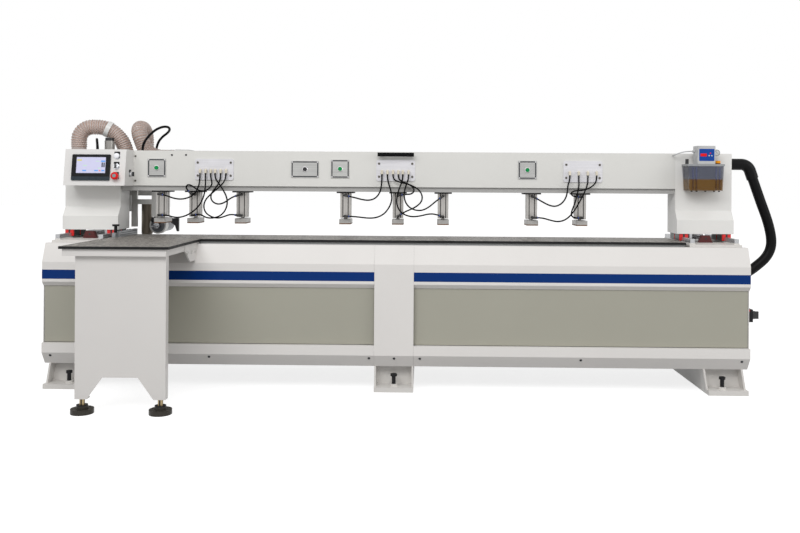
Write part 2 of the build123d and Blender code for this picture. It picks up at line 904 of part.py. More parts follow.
# Two slider blocks on each rail, with end seals
channel_half = rail_width / 2 + slide_clearance
slider_z = (rail_bottom_z + slider_lift, column_bottom_z)
with BuildPart() as y_slider_blocks:
    for x in (-rail_x[1], -rail_x[0], rail_x[0], rail_x[1]):
        for y in (slider_mid_y - slider_pitch / 2, slider_mid_y + slider_pitch / 2):
            body_x = (x - slider_width / 2, x + slider_width / 2)
            body_y = (y - slider_body / 2, y + slider_body / 2)
            block(body_x, body_y, slider_z)
            seal_x = (body_x[0] + 2, body_x[1] - 2)
            seal_z = (slider_z[0] + 1, slider_z[1] - 4)
            for seal_y in (body_y[0] - seal_gap - slider_seal, body_y[1] + seal_gap):
                block(seal_x, (seal_y, seal_y + slider_seal), seal_z)
        channel_x = (x - channel_half, x + channel_half)
        channel_z = (rail_bottom_z, rail_top_z + slide_clearance)
        block(channel_x, (rail_front_y, rail_rear_y), channel_z, mode=Mode.SUBTRACT)
save(y_slider_blocks, "y_slider_blocks")

# Screw drives on the bed: front bearing, rear bearing and motor under each column
rear_bearing_y = rail_bed_rear_y - rear_bearing_depth
screw_end_y = rail_bed_rear_y + coupling_depth - 1
with BuildPart() as y_drive_units:
    for side in (-1, 1):
        x = side * column_centre_x
        foot = [
            (x - bearing_foot_width / 2, bed_top_z),
            (x + bearing_foot_width / 2, bed_top_z),
            (x + bearing_top_width / 2, bed_top_z + bearing_height),
            (x - bearing_top_width / 2, bed_top_z + bearing_height),
        ]
        prism(foot, Plane.XZ.offset(-front_bearing_y), -front_bearing_depth)
        bearing_x = (x - rear_bearing_width / 2, x + rear_bearing_width / 2)
        block(bearing_x, (rear_bearing_y, rail_bed_rear_y), (bed_top_z, bed_top_z + rear_bearing_height))
        motor_x = (x - motor_side / 2, x + motor_side / 2)
        motor_z = (screw_z - motor_side / 2, screw_z + motor_side / 2)
        block(motor_x, (rail_bed_rear_y, rail_bed_rear_y + motor_length), motor_z)
        bore = journal_radius + running_fit
        rod((x, front_bearing_y, screw_z), (0, 1, 0), front_bearing_depth, bore, mode=Mode.SUBTRACT)
        rod((x, rear_bearing_y, screw_z), (0, 1, 0), rear_bearing_depth, bore, mode=Mode.SUBTRACT)
        rod((x, rail_bed_rear_y, screw_z), (0, 1, 0), coupling_depth, coupling_radius, mode=Mode.SUBTRACT)
save(y_drive_units, "y_drive_units")


# Ball screws, with thinner journals in their bearings
def ball_screw(x):
    with BuildPart() as screw:
        thread_start = front_bearing_y + front_bearing_depth + seam
        thread_end = rear_bearing_y - seam
        rod((x, front_bearing_y + 1, screw_z), (0, 1, 0), screw_end_y - front_bearing_y - 1, journal_radius)
        rod((x, thread_start, screw_z), (0, 1, 0), thread_end - thread_start, screw_radius)
    return screw


y_screw_left = ball_screw(-column_centre_x)
save(y_screw_left, "y_screw_left")
y_screw_right = ball_screw(column_centre_x)
save(y_screw_right, "y_screw_right")

# Screw nuts hanging under the columns
with BuildPart() as screw_nuts:
    for side in (-1, 1):
        x = side * column_centre_x
        nut_z = (screw_z - screw_radius - 5, column_bottom_z)
        block((x - nut_width / 2, x + nut_width / 2), (nut_front_y, nut_front_y + nut_depth), nut_z)
        rod((x, nut_front_y, screw_z), (0, 1, 0), nut_depth, screw_radius + running_fit, mode=Mode.SUBTRACT)
save(screw_nuts, "screw_nuts")

# Fixed fittings on the right end of the bed: main switch body and the lower conduit gland
with BuildPart() as base_end_fittings:
    body_y = (switch_y - switch_body_side / 2, switch_y + switch_body_side / 2)
    body_z = (switch_z - switch_body_side / 2, switch_z + switch_body_side / 2)
    block((half_length, half_length + switch_body_depth), body_y, body_z)
    pin_bore = switch_pin_radius + running_fit
    pin_floor = (half_length + switch_body_depth - switch_pin_depth - 1, switch_y, switch_z)
    rod(pin_floor, (1, 0, 0), switch_pin_depth + 1, pin_bore, mode=Mode.SUBTRACT)
    rod((half_length, 0, lower_gland_z), (1, 0, 0), gland_flange, gland_flange_radius)
    rod((half_length, 0, lower_gland_z), (1, 0, 0), lower_gland_length, gland_radius)
save(base_end_fittings, "base_end_fittings")

# Main switch knob, a disc with a raised grip
knob_face_x = half_length + switch_body_depth + seam
with BuildPart() as main_switch_knob:
    rod((knob_face_x, switch_y, switch_z), (1, 0, 0), switch_knob_depth, switch_knob_radius)
    rod((knob_face_x - switch_pin_depth, switch_y, switch_z), (1, 0, 0), switch_pin_depth, switch_pin_radius)
    grip_x = (knob_face_x + switch_knob_depth, knob_face_x + switch_knob_depth + switch_grip_depth)
    grip_y = (switch_y - switch_grip_width / 2, switch_y + switch_grip_width / 2)
    grip_z = (switch_z - switch_knob_radius + 2, switch_z + switch_knob_radius - 2)
    block(grip_x, grip_y, grip_z)
save(main_switch_knob, "main_switch_knob")

# Two hollow columns with a stepped front
column_outline = [
    (column_front_y, column_bottom_z),
    (column_rear_y, column_bottom_z),
    (column_rear_y, column_top_z),
    (face_y, column_top_z),
    (face_y, column_face_z),
    (column_front_y, column_step_z),
]
column_hollow = [
    (column_front_y + column_wall, column_bottom_z + 2 * column_wall),
    (column_rear_y - column_wall, column_bottom_z + 2 * column_wall),
    (column_rear_y - column_wall, column_top_z - column_wall),
    (face_y + column_wall, column_top_z - column_wall),
    (face_y + column_wall, column_face_z),
    (column_front_y + column_wall, column_step_z),
]
with BuildPart() as columns:
    for side in (-1, 1):
        start_x = side * column_centre_x - column_width / 2
        with BuildPart(mode=Mode.PRIVATE) as shell:
            prism(column_outline, Plane.YZ.offset(start_x), column_width)
            outer_face = shell.faces().sort_by(Axis.X)[-1 if side > 0 else 0]
            fillet(outer_face.edges().filter_by(Axis.Y, reverse=True), column_round)
            hollow_width = column_width - 2 * column_wall
            prism(column_hollow, Plane.YZ.offset(start_x + column_wall), hollow_width, mode=Mode.SUBTRACT)
        add(shell.part)
save(columns, "columns")

# Box-section beam between the columns
beam_x = (-column_inner_x, column_inner_x)
beam_top_z = column_top_z - cover_sheet
with BuildPart() as beam_tube:
    block(beam_x, (beam_front_y, column_rear_y), (beam_bottom_z, beam_top_z))
    hollow_y = (beam_front_y + beam_wall, column_rear_y - beam_wall)
    hollow_z = (beam_bottom_z + beam_wall, beam_top_z - beam_wall)
    block((-column_inner_x - 1, column_inner_x + 1), hollow_y, hollow_z, mode=Mode.SUBTRACT)
save(beam_tube, "beam_tube")

# Folded cover on the front and top of the beam, with holes behind the buttons
button_places = [(x, green_plate_z) for x in green_plate_x] + [(black_plate_x, black_plate_z)]
button_hole = beam_button_radius + switch_fit
flange_hole = button_hole + beam_button_flange
with BuildPart() as beam_cover:
    block(beam_x, (face_y, face_y + cover_sheet), (cover_bottom_z, column_top_z))
    block(beam_x, (face_y, column_rear_y - column_step_y), (beam_top_z, column_top_z))
    block(beam_x, (face_y, beam_front_y), (cover_bottom_z, cover_bottom_z + cover_sheet))
    for x, z in button_places:
        rod((x, face_y, z), (0, 1, 0), cover_sheet, flange_hole, mode=Mode.SUBTRACT)
save(beam_cover, "beam_cover")

# Control box with a sloping front, hollow, with holes for the screen and the switches
panel_plane = Plane(
    origin=(box_left_x, face_y - box_bottom_depth, box_bottom_z),
    x_dir=(1, 0, 0),
    z_dir=Vector(1, 0, 0).cross(panel_lean),
)
switch_column = box_width - switch_right_margin
switch_heights = [estop_height_on_panel + switch_spacing * step for step in range(3)]
screen_centre = (screen_left_margin + screen_width / 2, screen_bottom_margin + screen_height / 2)
screen_hole = (screen_width - 2 * screen_body_margin, screen_height - 2 * screen_body_margin)
box_outline = [
    (face_y, box_bottom_z),
    (face_y, box_top_z),
    (face_y - box_top_depth, box_top_z),
    (face_y - box_bottom_depth, box_bottom_z),
]
side_switch = Plane(origin=(box_right_x, side_selector_y, side_selector_z), x_dir=(0, 1, 0), z_dir=(1, 0, 0))


def on_panel(u, v, w=0):
    """A plane parallel to the sloping panel, at a place on it and a height above it."""
    place = panel_plane.from_local_coords((u, v, w))
    return Plane(origin=place, x_dir=panel_plane.x_dir, z_dir=panel_plane.z_dir)


def disc(plane, start, height, radius, mode=Mode.ADD):
    """A round boss on a plane, from a height above it."""
    with BuildSketch(plane.offset(start)) as outline:
        Circle(radius)
    extrude(outline.sketch, amount=height, mode=mode)


hole_depth = 2 * box_wall + switch_ring_height
hole_radius = switch_hole_radius + switch_fit
with BuildPart() as control_box:
    prism(box_outline, Plane.YZ.offset(box_left_x), box_width)
    offset(amount=-box_wall, kind=Kind.INTERSECTION, mode=Mode.SUBTRACT)
    for height in switch_heights:
        disc(on_panel(switch_column, height), 0, switch_ring_height, switch_ring_radius)
        disc(on_panel(switch_column, height), -box_wall, hole_depth, hole_radius, mode=Mode.SUBTRACT)
    disc(side_switch, 0, switch_ring_height, switch_ring_radius)
    disc(side_switch, -box_wall, hole_depth, hole_radius, mode=Mode.SUBTRACT)
    with BuildSketch(on_panel(*screen_centre, -box_wall)):
        Rectangle(*screen_hole)
    extrude(amount=box_wall, mode=Mode.SUBTRACT)
save(control_box, "control_box")

# Touch screen: a bezel on the panel, glass set into it, and a body behind the hole
with BuildPart() as touch_screen:
    with BuildSketch(on_panel(*screen_centre)):
        RectangleRounded(screen_width, screen_height, bezel_thick / 2)
    extrude(amount=bezel_thick)
    with BuildSketch(on_panel(screen_centre[0], screen_centre[1] + glass_drop, bezel_thick)):
        Rectangle(glass_width, glass_height)
    extrude(amount=-glass_recess, mode=Mode.SUBTRACT)
    with BuildSketch(on_panel(*screen_centre)):
        Rectangle(screen_hole[0] - 2 * switch_fit, screen_hole[1] - 2 * switch_fit)
    extrude(amount=-screen_body_depth)
save(touch_screen, "touch_screen")

# Switches on the control box: white button, two selectors and the emergency stop
white_place = on_panel(switch_column, switch_heights[2])
with BuildPart() as white_button:
    disc(white_place, -button_stem, button_stem + switch_ring_height + button_cap_height, switch_hole_radius)
save(white_button, "white_button")


def selector(plane):
    with BuildPart() as knob:
        disc(plane, -button_stem, button_stem + switch_ring_height + seam, switch_hole_radius)
        disc(plane, switch_ring_height + seam, selector_height, selector_radius)
        with BuildSketch(plane.offset(switch_ring_height + seam + selector_height)):
            Rectangle(selector_grip_width, 2 * selector_radius - 2)
        extrude(amount=selector_grip_height)
    return knob


selector_front = selector(on_panel(switch_column, switch_heights[1]))
save(selector_front, "selector_front")
selector_side = selector(side_switch)
save(selector_side, "selector_side")

estop_place = on_panel(switch_column, switch_heights[0])
with BuildPart() as estop_button:
    disc(estop_place, -button_stem, button_stem + switch_ring_height + estop_neck, switch_hole_radius)
    disc(estop_place, switch_ring_height + estop_neck, estop_cap, estop_radius)
    top_face = estop_button.faces().sort_by(Axis(panel_plane.origin, panel_plane.z_dir))[-1]
    fillet(top_face.edges(), estop_cap / 3)
save(estop_button, "estop_button")

# Plates on the beam: four button plates and three air manifold plates
with BuildPart() as beam_plates:
    for x in green_plate_x:
        half = green_plate_side / 2
        plate_z = (green_plate_z - half, green_plate_z + half)
        block((x - half, x + half), (face_y - plate_thick, face_y), plate_z)
    black_x = (black_plate_x - black_plate_width / 2, black_plate_x + black_plate_width / 2)
    black_z = (black_plate_z - black_plate_height / 2, black_plate_z + black_plate_height / 2)
    block(black_x, (face_y - plate_thick, face_y), black_z)
    for x in manifold_x:
        with BuildSketch(Plane.XZ.offset(-face_y)):
            with Locations((x, manifold_z)):
                RectangleRounded(manifold_width, manifold_height, manifold_round)
        extrude(amount=plate_thick + 2)
    for x, z in button_places:
        rod((x, face_y - plate_thick, z), (0, 1, 0), plate_thick, button_hole, mode=Mode.SUBTRACT)
save(beam_plates, "beam_plates")


# Buttons on the beam: a round cap with a flange behind its plate
def beam_button(x, z):
    with BuildPart() as button:
        cap_y = face_y - plate_thick - beam_button_proud
        rod((x, cap_y, z), (0, 1, 0), beam_button_proud + plate_thick + beam_button_depth, beam_button_radius)
        flange_y = face_y + seam / 5
        rod((x, flange_y, z), (0, 1, 0), 2, beam_button_radius + beam_button_flange)
    return button


for number, x in enumerate(green_plate_x, 1):
    green_button = beam_button(x, green_plate_z)
    save(green_button, f"green_button_{number}")
black_button = beam_button(black_plate_x, black_plate_z)
save(black_button, "black_button")

# Black handle bar above the middle manifold, on two posts
with BuildPart() as top_handle:
    bar_y = (face_y - handle_post_depth - handle_depth, face_y - handle_post_depth)
    bar_z = (handle_bottom_z, handle_bottom_z + handle_height)
    block((handle_left_x, handle_right_x), bar_y, bar_z)
    fillet(top_handle.edges().filter_by(Axis.X), handle_depth / 4)
    for x in (handle_left_x + handle_post_inset, handle_right_x - handle_post_inset):
        post_x = (x - handle_post_width / 2, x + handle_post_width / 2)
        block(post_x, (face_y - handle_post_depth - 1, face_y), (bar_z[0] + 3, bar_z[1] - 3))
save(top_handle, "top_handle")

# Press cylinders: square bodies with grooved sides, bored for a piston, under flange plates
with BuildPart() as press_cylinders:
    for x in press_x:
        plate_x = (x - press_plate_width / 2, x + press_plate_width / 2)
        plate_y = (press_y - press_plate_depth / 2, press_y + press_plate_depth / 2)
        block(plate_x, plate_y, (press_top_z, beam_bottom_z))
        body_x = (x - press_body_width / 2, x + press_body_width / 2)
        body_y = (press_front_y, press_front_y + press_body_depth)
        body_z = (press_bottom_z, press_top_z)
        block(body_x, body_y, body_z)
        for groove_x in (body_x[0], body_x[1] - press_groove):
            groove_y = (press_y - press_groove, press_y + press_groove)
            block((groove_x, groove_x + press_groove), groove_y, body_z, mode=Mode.SUBTRACT)
        for groove_x in (x - press_body_width / 4, x + press_body_width / 4):
            sides = (groove_x - press_groove / 2, groove_x + press_groove / 2)
            block(sides, (press_front_y, press_front_y + press_groove), body_z, mode=Mode.SUBTRACT)
        bore_z = press_bottom_z + press_bore_floor
        bore_height = press_body_height - press_bore_floor - press_bore_roof
        rod((x, press_y, bore_z), (0, 0, 1), bore_height, press_bore_radius, mode=Mode.SUBTRACT)
        gland = press_rod_radius + running_fit
        rod((x, press_y, press_bottom_z), (0, 0, 1), press_bore_floor, gland, mode=Mode.SUBTRACT)
save(press_cylinders, "press_cylinders")


# Press rods: piston, rod and a broad foot, in one group for each manifold
def press_rods(places):
    with BuildPart() as rods:
        for x in places:
            foot_top_z = press_bottom_z - press_foot_gap
            piston_top_z = press_top_z - press_bore_roof - 2
            piston_z = piston_top_z - press_piston_height
            rod((x, press_y, piston_z), (0, 0, 1), press_piston_height, press_bore_radius - press_piston_gap)
            rod((x, press_y, foot_top_z - 1), (0, 0, 1), piston_top_z - foot_top_z, press_rod_radius)
            with BuildSketch(Plane.XY.offset(foot_top_z - press_foot_height)) as foot:
                with Locations((x, press_y)):
                    RectangleRounded(press_foot_width, press_foot_depth, press_foot_round)
            extrude(foot.sketch, amount=press_foot_height)
    return rods


press_rods_left = press_rods(press_x[:3])
save(press_rods_left, "press_rods_left")
press_rods_middle = press_rods(press_x[3:6])
save(press_rods_middle, "press_rods_middle")
press_rods_right = press_rods(press_x[6:])
save(press_rods_right, "press_rods_right")

# Air lines: place of the cream elbow, press cylinder, port, angle of the black elbow, points between
air_lead = 26
air_lines = [
    (-1066, 0, port_upper_z, -10, [
        (-1069, -81, 1046), (-1085, -84, 1006), (-1117, -85, 980), (-1163, -85, 968), (-1209, -82, 974)]),
    (-1036, 0, port_lower_z, 0, [
        (-1029, -101, 1046), (-1033, -107, 994), (-1056, -107, 940), (-1096, -106, 901), (-1137, -104, 879),
        (-1176, -96, 870), (-1212, -83, 873)]),
    (-1008, 1, port_upper_z, 135, [
        (-995, -85, 1054), (-1014, -89, 1024), (-1047, -92, 1012), (-1079, -95, 1023), (-1105, -88, 1043),
        (-1132, -82, 1050)]),
    (-984, 1, port_lower_z, 10, [
        (-962, -96, 1060), (-933, -104, 1022), (-913, -106, 985), (-908, -106, 946), (-921, -106, 908),
        (-948, -106, 880), (-988, -106, 868), (-1029, -95, 871)]),
    (-954, 2, port_upper_z, 200, [
        (-962, -79, 1056), (-983, -80, 1028), (-1003, -80, 1001), (-1006, -80, 974), (-991, -80, 952),
        (-963, -80, 942), (-930, -80, 952)]),
    (-925, 2, port_lower_z, 170, [
        (-938, -85, 1055), (-970, -93, 1025), (-1010, -94, 991), (-1034, -94, 962), (-1041, -94, 929),
        (-1030, -93, 897), (-1002, -90, 876), (-964, -91, 867), (-930, -88, 877)]),
    (-79, 3, port_upper_z, -12, [
        (-80, -79, 1052), (-88, -80, 1012), (-113, -80, 980), (-147, -80, 969), (-184, -80, 973)]),
    (-49, 3, port_lower_z, 0, [
        (-38, -81, 1050), (-27, -85, 1013), (-23, -86, 975), (-35, -86, 936), (-63, -86, 898),
        (-101, -86, 878), (-141, -85, 873), (-183, -81, 877)]),
    (-19, 4, port_lower_z, 35, [
        (12, -84, 1070), (50, -88, 1062), (88, -91, 1050), (120, -92, 1030), (140, -93, 1001),
        (139, -93, 969), (117, -93, 944), (85, -89, 925)]),
    (10, 4, port_upper_z, 10, [
        (36, -76, 1070), (70, -77, 1057), (94, -78, 1038), (95, -78, 1016), (77, -77, 1004)]),
    (34, 5, port_lower_z, 160, [
        (28, -105, 1064), (14, -115, 1028), (4, -119, 989), (3, -119, 952), (17, -119, 917),
        (47, -119, 893), (89, -118, 883), (133, -110, 889), (174, -94, 899)]),
    (65, 5, port_upper_z, 215, [
        (56, -101, 1063), (45, -107, 1027), (42, -107, 988), (52, -106, 956), (74, -106, 931),
        (108, -106, 917), (147, -104, 919), (182, -93, 940)]),
    (934, 6, port_upper_z, -30, [
        (923, -78, 1058), (921, -80, 1021), (911, -80, 985), (889, -80, 957), (856, -80, 942),
        (820, -79, 950)]),
    (982, 7, port_lower_z, 180, [
        (982, -85, 1056), (974, -91, 1018), (964, -93, 980), (953, -93, 945), (942, -90, 918),
        (941, -83, 897)]),
    (1031, 6, port_lower_z, 0, [
        (1024, -93, 1056), (1007, -103, 1018), (987, -106, 980), (966, -106, 941), (941, -106, 904),
        (909, -105, 873), (869, -102, 861), (830, -91, 869)]),
    (1078, 7, port_upper_z, 180, [
        (1065, -78, 1062), (1041, -78, 1044), (1012, -78, 1033), (981, -78, 1030), (952, -78, 1027),
        (939, -78, 1012)]),
]


def air_ends(fitting_x, cylinder, port_z, angle):
    """Start, first bend, last bend and end of an air hose, straight along both of its elbows."""
    along = Vector(cos(radians(angle)), 0, sin(radians(angle)))
    start = Vector(fitting_x, fitting_y, fitting_z - fitting_drop)
    end = Vector(press_x[cylinder], fitting_y, port_z) + along * port_collar_length
    return start, start - Vector(0, 0, air_lead), end + along * air_lead, end


# Elbows: cream ones on the manifolds turn down, black ones on the cylinders turn sideways
with BuildPart() as air_fittings:
    for fitting_x, cylinder, port_z, angle, points in air_lines:
        ball = (fitting_x, fitting_y, fitting_z)
        rod(ball, (0, 1, 0), fitting_reach, fitting_stub_radius)
        with Locations(ball):
            Sphere(fitting_ball_radius)
        rod(ball, (0, 0, -1), fitting_drop, fitting_collar_radius)
        port = (press_x[cylinder], fitting_y, port_z)
        rod(port, (0, 1, 0), press_front_y - fitting_y, fitting_stub_radius)
        valve = (press_x[cylinder], press_front_y - port_valve_length, port_z)
        rod(valve, (0, 1, 0), port_valve_length, port_valve_radius)
        with Locations(port):
            Sphere(fitting_ball_radius)
        rod(port, (cos(radians(angle)), 0, sin(radians(angle))), port_collar_length, port_collar_radius)
save(air_fittings, "air_fittings")

# Air hoses from the cream elbows to the cylinder ports
with BuildPart() as air_hoses:
    for number, (fitting_x, cylinder, port_z, angle, points) in enumerate(air_lines, 1):
        start, first, last, end = air_ends(fitting_x, cylinder, port_z, angle)
        tube(f"air hose {number}", [start, first, *points, last, end], air_hose_diameter)
save(air_hoses, "air_hoses")

# Lubricator: a tapered oil tank on the right column, with a pump and a filler cap on its lid
tank_y = (face_y - tank_depth, face_y)
tank_top_z = tank_bottom_z + tank_height
lid_z = (tank_top_z, tank_top_z + lid_height)
pump_x = (lubricator_x - pump_left, lubricator_x + pump_right)
pump_top_z = lid_z[1] + pump_height
cap_y = face_y - tank_depth / 2
with BuildPart() as lubricator_tank:
    outline = [
        (lubricator_x - tank_base_width / 2, tank_bottom_z),
        (lubricator_x + tank_base_width / 2, tank_bottom_z),
        (lubricator_x + tank_top_width / 2, tank_top_z),
        (lubricator_x - tank_top_width / 2, tank_top_z),
    ]
    hollow = [
        (outline[0][0] + tank_wall, tank_bottom_z + tank_wall),
        (outline[1][0] - tank_wall, tank_bottom_z + tank_wall),
        (outline[2][0] - tank_wall, tank_top_z),
        (outline[3][0] + tank_wall, tank_top_z),
    ]
    prism(outline, Plane.XZ.offset(-tank_y[1]), tank_depth)
    prism(hollow, Plane.XZ.offset(-tank_y[1] + tank_wall), tank_depth - 2 * tank_wall, mode=Mode.SUBTRACT)
save(lubricator_tank, "lubricator_tank")

with BuildPart() as lubricator_pump:
    block((lubricator_x - lid_width / 2, lubricator_x + lid_width / 2), tank_y, lid_z)
    block(pump_x, (face_y - pump_depth, face_y - 20), (lid_z[1], pump_top_z))
    fillet(lubricator_pump.edges().filter_by(Axis.Z).group_by(Axis.Z)[-1], 6)
    gauge_place = (pump_x[1], face_y - pump_depth / 2, gauge_z)
    rod(gauge_place, (1, 0, 0), gauge_length - 12, 6)
    rod((gauge_place[0] + gauge_length, gauge_place[1] - 10, gauge_z), (0, 1, 0), 20, gauge_radius)
    rod((plug_x, cap_y, lid_z[1]), (0, 0, 1), plug_height, plug_radius)
    rod((pump_x[0], cap_y, oil_outlet_z), (-1, 0, 0), oil_outlet_length, oil_outlet_radius)
    oil_route = [
        (pump_x[0], cap_y, oil_outlet_z), (pump_x[0] - 30, cap_y, oil_outlet_z),
        (pump_x[0] - 61, cap_y + 3, oil_outlet_z - 3), (pump_x[0] - 87, cap_y + 13, oil_outlet_z - 12),
        (pump_x[0] - 103, cap_y + 30, oil_outlet_z - 21), (pump_x[0] - 103, face_y, oil_outlet_z - 21),
    ]
    tube("oil tube", oil_route, oil_tube_diameter)
    rod((cap_x, cap_y, lid_z[0]), (0, 0, 1), lid_height, cap_radius - 4 + running_fit, mode=Mode.SUBTRACT)
save(lubricator_pump, "lubricator_pump")

with BuildPart() as filler_cap:
    rod((cap_x, cap_y, lid_z[0] + 1), (0, 0, 1), lid_height, cap_radius - 4)
    rod((cap_x, cap_y, lid_z[1] + seam), (0, 0, 1), cap_height, cap_radius)
save(filler_cap, "filler_cap")

# Conduit gland on the outside of the right column: a flange and an elbow that turns down
elbow_points = [
    (column_outer_x, 0, upper_gland_z),
    (column_outer_x + upper_gland_run, 0, upper_gland_z),
    (column_outer_x + upper_gland_run + upper_gland_turn[0], 0, upper_gland_z + upper_gland_turn[1]),
]
with BuildPart() as conduit_gland:
    rod(elbow_points[0], (1, 0, 0), gland_flange, gland_flange_radius)
    tube("conduit elbow", elbow_points, 2 * gland_radius)
save(conduit_gland, "conduit_gland")

# Flexible conduit from the right column down to the end of the bed
conduit_route = [
    elbow_points[2],
    (elbow_points[2][0] + 1.5 * upper_gland_turn[0], 0, elbow_points[2][2] + 1.5 * upper_gland_turn[1]),
    (2026, 0, 868), (2046, 0, 780), (2044, 0, 721), (2016, 0, 668),
    (1973, 0, 630), (1932, 0, 598), (1898, 0, lower_gland_z),
    (half_length + lower_gland_length, 0, lower_gland_z),
]
with BuildPart() as conduit_hose:
    tube("conduit", conduit_route, conduit_diameter)
save(conduit_hose, "conduit_hose")

# Two rails and a toothed rack along the back of the beam
pitch_radius = gear_module * pinion_teeth / 2
rack_pitch_z = pinion_z + pitch_radius
rack_y = (column_rear_y, column_rear_y + rack_depth)
tooth_pitch = gear_module * pi
tooth_half = tooth_pitch / 4 - gear_backlash / 2
flank = tan(radians(20))
rack_root_z = rack_pitch_z + 1.25 * gear_module
rack_tip_z = rack_pitch_z - 0.9 * gear_module
with BuildPart() as x_rails:
    for z in x_rail_z:
        rail_z = (z - x_rail_width / 2, z + x_rail_width / 2)
        rail_y = (column_rear_y, column_rear_y + x_rail_height)
        block((-x_rail_half_length, x_rail_half_length), rail_y, rail_z)
    teeth = int((rack_right_x - rack_left_x) / tooth_pitch)
    first_tooth = pinion_x + tooth_pitch / 2 - tooth_pitch * int((pinion_x - rack_left_x) / tooth_pitch)
    rack_line = [(rack_right_x, rack_root_z + rack_height), (rack_left_x, rack_root_z + rack_height)]
    rack_line.append((rack_left_x, rack_root_z))
    for tooth in range(teeth):
        tooth_x = first_tooth + tooth * tooth_pitch
        if tooth_x + tooth_pitch / 2 < rack_right_x:
            root_half = tooth_half + (rack_root_z - rack_pitch_z) * flank
            tip_half = tooth_half - (rack_pitch_z - rack_tip_z) * flank
            rack_line.append((tooth_x - root_half, rack_root_z))
            rack_line.append((tooth_x - tip_half, rack_tip_z))
            rack_line.append((tooth_x + tip_half, rack_tip_z))
            rack_line.append((tooth_x + root_half, rack_root_z))
    rack_line.append((rack_right_x, rack_root_z))
    prism(rack_line, Plane.XZ.offset(-rack_y[1]), rack_depth)
save(x_rails, "x_rails")

# Pinion in mesh below the rack, on its motor shaft
pinion_y = (column_rear_y + 3, column_rear_y + 3 + pinion_width)
pinion_line = []
for tooth in range(pinion_teeth):
    middle = pi / 2 + 2 * pi * tooth / pinion_teeth
    for radius, half_width in (
        (pitch_radius - 1.25 * gear_module, tooth_half + 1.25 * gear_module * flank * 0.6),
        (pitch_radius, tooth_half),
        (pitch_radius + 0.9 * gear_module, tooth_half - 0.9 * gear_module * flank * 1.5),
    ):
        pinion_line.append((radius, middle + half_width / radius))
    for radius, half_width in (
        (pitch_radius + 0.9 * gear_module, tooth_half - 0.9 * gear_module * flank * 1.5),
        (pitch_radius, tooth_half),
        (pitch_radius - 1.25 * gear_module, tooth_half + 1.25 * gear_module * flank * 0.6),
    ):
        pinion_line.append((radius, middle - half_width / radius))
pinion_order = []
for tooth in range(pinion_teeth):
    pinion_order += pinion_line[6 * tooth:6 * tooth + 6][::-1]
pinion_points = [
    (pinion_x + radius * cos(angle), pinion_z + radius * sin(angle))
    for radius, angle in pinion_order
]
with BuildPart() as x_pinion:
    prism(pinion_points, Plane.XZ.offset(-pinion_y[1]), pinion_width)
    rod((pinion_x, pinion_y[0], pinion_z), (0, 1, 0), carriage_rear_y - pinion_y[0] + 30, pinion_shaft_radius)
save(x_pinion, "x_pinion")

# Carriage plate behind the beam
carriage_z = (carriage_bottom_z, carriage_top_z)
with BuildPart() as carriage_plate:
    block((carriage_left_x, carriage_right_x), (carriage_front_y, carriage_rear_y), carriage_z)
    shaft_start = (pinion_x, carriage_front_y, pinion_z)
    rod(shaft_start, (0, 1, 0), carriage_thick, pinion_shaft_radius + 2, mode=Mode.SUBTRACT)
    for x in (cable_a_x, cable_b_x):
        rod((x, cable_y, carriage_top_z), (0, 0, 1), cable_gland_height, carriage_thick / 2 - 1)
save(carriage_plate, "carriage_plate")

# Slider blocks on the beam rails, and the two upright rails for the head
with BuildPart() as carriage_guides:
    for z in x_rail_z:
        for x in x_block_x:
            block_x = (x - x_block_length / 2, x + x_block_length / 2)
            block_z = (z - x_block_width / 2, z + x_block_width / 2)
            block(block_x, (column_rear_y + x_block_lift, carriage_front_y), block_z)
        channel_z = (z - x_rail_width / 2 - slide_clearance, z + x_rail_width / 2 + slide_clearance)
        channel_y = (column_rear_y, column_rear_y + x_rail_height + slide_clearance)
        block((carriage_left_x, carriage_right_x), channel_y, channel_z, mode=Mode.SUBTRACT)
    for x in z_rail_x:
        rail_sides = (x - z_rail_width / 2, x + z_rail_width / 2)
        block(rail_sides, (carriage_rear_y, carriage_rear_y + z_rail_depth), (z_rail_bottom_z, z_rail_top_z))
save(carriage_guides, "carriage_guides")

# Carriage drive motor behind the plate
with BuildPart() as x_drive_motor:
    motor_x = (pinion_x - x_motor_side / 2, pinion_x + x_motor_side / 2)
    motor_z = (pinion_z - x_motor_side / 2, pinion_z + x_motor_side / 2)
    block(motor_x, (carriage_rear_y, carriage_rear_y + x_motor_length), motor_z)
    fillet(x_drive_motor.edges().filter_by(Axis.Y), 5)
    shaft_bore = pinion_shaft_radius + running_fit
    rod((pinion_x, carriage_rear_y, pinion_z), (0, 1, 0), 40, shaft_bore, mode=Mode.SUBTRACT)
save(x_drive_motor, "x_drive_motor")

# Balance cylinder on the carriage, bored for the head's lift rod
with BuildPart() as balance_cylinder:
    rod((balance_x, balance_y, balance_bottom_z), (0, 0, 1), balance_top_z - balance_bottom_z, balance_radius)
    rod((balance_x, balance_y, balance_top_z), (0, 0, 1), balance_cap_height, balance_radius - 3)
    bracket_x = (balance_x - balance_bracket / 2, balance_x + balance_bracket / 2)
    block(bracket_x, (carriage_rear_y, balance_y), (balance_bottom_z + 20, balance_bottom_z + 50))
    bore_height = balance_bore_top_z - balance_bottom_z
    rod((balance_x, balance_y, balance_bottom_z), (0, 0, 1), bore_height, lift_rod_radius + running_fit,
        mode=Mode.SUBTRACT)
save(balance_cylinder, "balance_cylinder")

